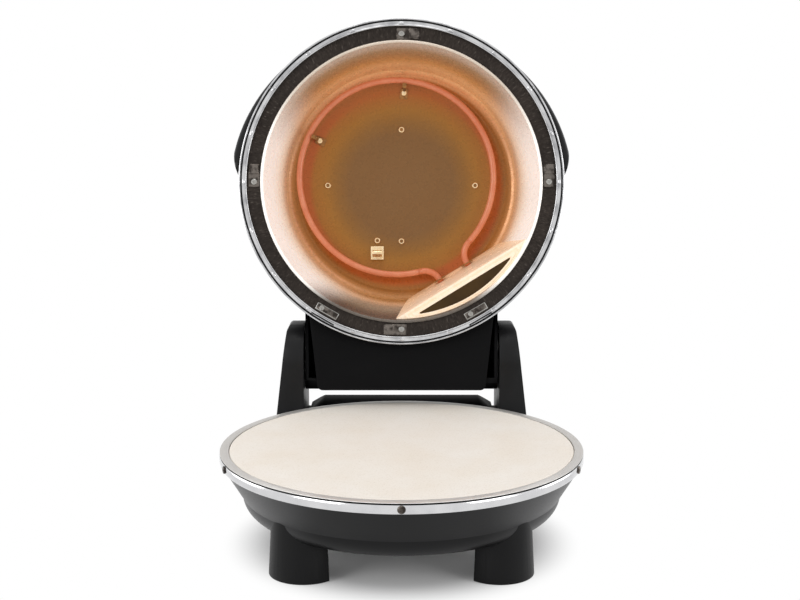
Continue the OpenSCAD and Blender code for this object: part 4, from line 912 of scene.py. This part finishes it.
def buildStudio():
    world = bpy.data.worlds.new("whiteRoom")
    bpy.context.scene.world = world
    world.use_nodes = True
    world.node_tree.nodes.clear()
    light = addNode(world, "ShaderNodeBackground", {"Color": (1, 1, 1, 1), "Strength": studio["worldLight"]})
    white = addNode(world, "ShaderNodeBackground", {"Color": (1, 1, 1, 1), "Strength": 1.0})
    mix = addNode(world, "ShaderNodeMixShader", links={
        0: addWhiteRays(world), 1: light.outputs["Background"], 2: white.outputs["Background"]})
    addNode(world, "ShaderNodeOutputWorld", links={"Surface": mix.outputs["Shader"]})
    bm = bmesh.new()
    bmesh.ops.create_grid(bm, x_segments=1, y_segments=1, size=studio["floorSize"] / 2)
    mesh = bpy.data.meshes.new("floor")
    bm.to_mesh(mesh)
    bm.free()
    floor = bpy.data.objects.new("floor", mesh)
    bpy.context.scene.collection.objects.link(floor)
    # matt white paper: it keeps the soft shadow near the feet and is plain white beyond it
    paper = bpy.data.materials.new("mattWhitePaper")
    paper.use_nodes = True
    paper.node_tree.nodes.clear()
    diffuse = addNode(paper, "ShaderNodeBsdfDiffuse", {"Color": toLinear(studio["floorColour"])})
    lift = addNode(paper, "ShaderNodeEmission", {"Color": (1, 1, 1, 1), "Strength": studio["floorLift"]})
    near = addNode(paper, "ShaderNodeAddShader",
                   links={0: diffuse.outputs["BSDF"], 1: lift.outputs["Emission"]})
    white = addNode(paper, "ShaderNodeEmission", {"Color": (1, 1, 1, 1), "Strength": 1.0})
    spot = addNode(paper, "ShaderNodeTexCoord").outputs["Object"]
    spot = addNode(paper, "ShaderNodeMapping", {"Location": (0, -places["axisY"] * mm, 0)},
                   {"Vector": spot}).outputs["Vector"]
    distance = addNode(paper, "ShaderNodeVectorMath", {"operation": "LENGTH"}, {0: spot}).outputs["Value"]
    fade = addNode(paper, "ShaderNodeMapRange",
                   {"interpolation_type": "SMOOTHSTEP", "From Min": studio["shadowFrom"],
                    "From Max": studio["shadowTo"]},
                   {"Value": distance}).outputs["Result"]
    seen = addNode(paper, "ShaderNodeMixShader",
                   links={0: fade, 1: near.outputs["Shader"], 2: white.outputs["Emission"]})
    mix = addNode(paper, "ShaderNodeMixShader",
                  links={0: addWhiteRays(paper), 1: diffuse.outputs["BSDF"], 2: seen.outputs["Shader"]})
    addNode(paper, "ShaderNodeOutputMaterial", links={"Surface": mix.outputs["Shader"]})
    mesh.materials.append(paper)
    for name, (place, power, size) in lamps.items():
        addLamp(name + "Lamp", place, studio["lampAim"], power, size)
    bpy.context.scene.view_settings.view_transform = "Standard"


def buildCamera():
    # fitted to the rims of the base and the lid in the photograph
    view = {"distance": 1.1, "targetY": places["axisY"] * mm, "targetZ": 0.2214, "pitch": 9.41,
            "focalPixels": 1237.5, "imageWidth": 800, "shiftPixels": 1.5, "sensor": 36.0}
    camera = bpy.data.cameras.new("camera")
    camera.sensor_width = view["sensor"]
    camera.lens = view["focalPixels"] / view["imageWidth"] * camera.sensor_width
    camera.shift_x = -view["shiftPixels"] / view["imageWidth"]
    holder = bpy.data.objects.new("camera", camera)
    pitch = math.radians(view["pitch"])
    holder.location = (0, view["targetY"] - view["distance"] * math.cos(pitch),
                       view["targetZ"] + view["distance"] * math.sin(pitch))
    holder.rotation_euler = (math.radians(90) - pitch, 0, 0)
    bpy.context.scene.collection.objects.link(holder)
    bpy.context.scene.camera = holder


buildStudio()
buildCamera()
print("studio and camera made")
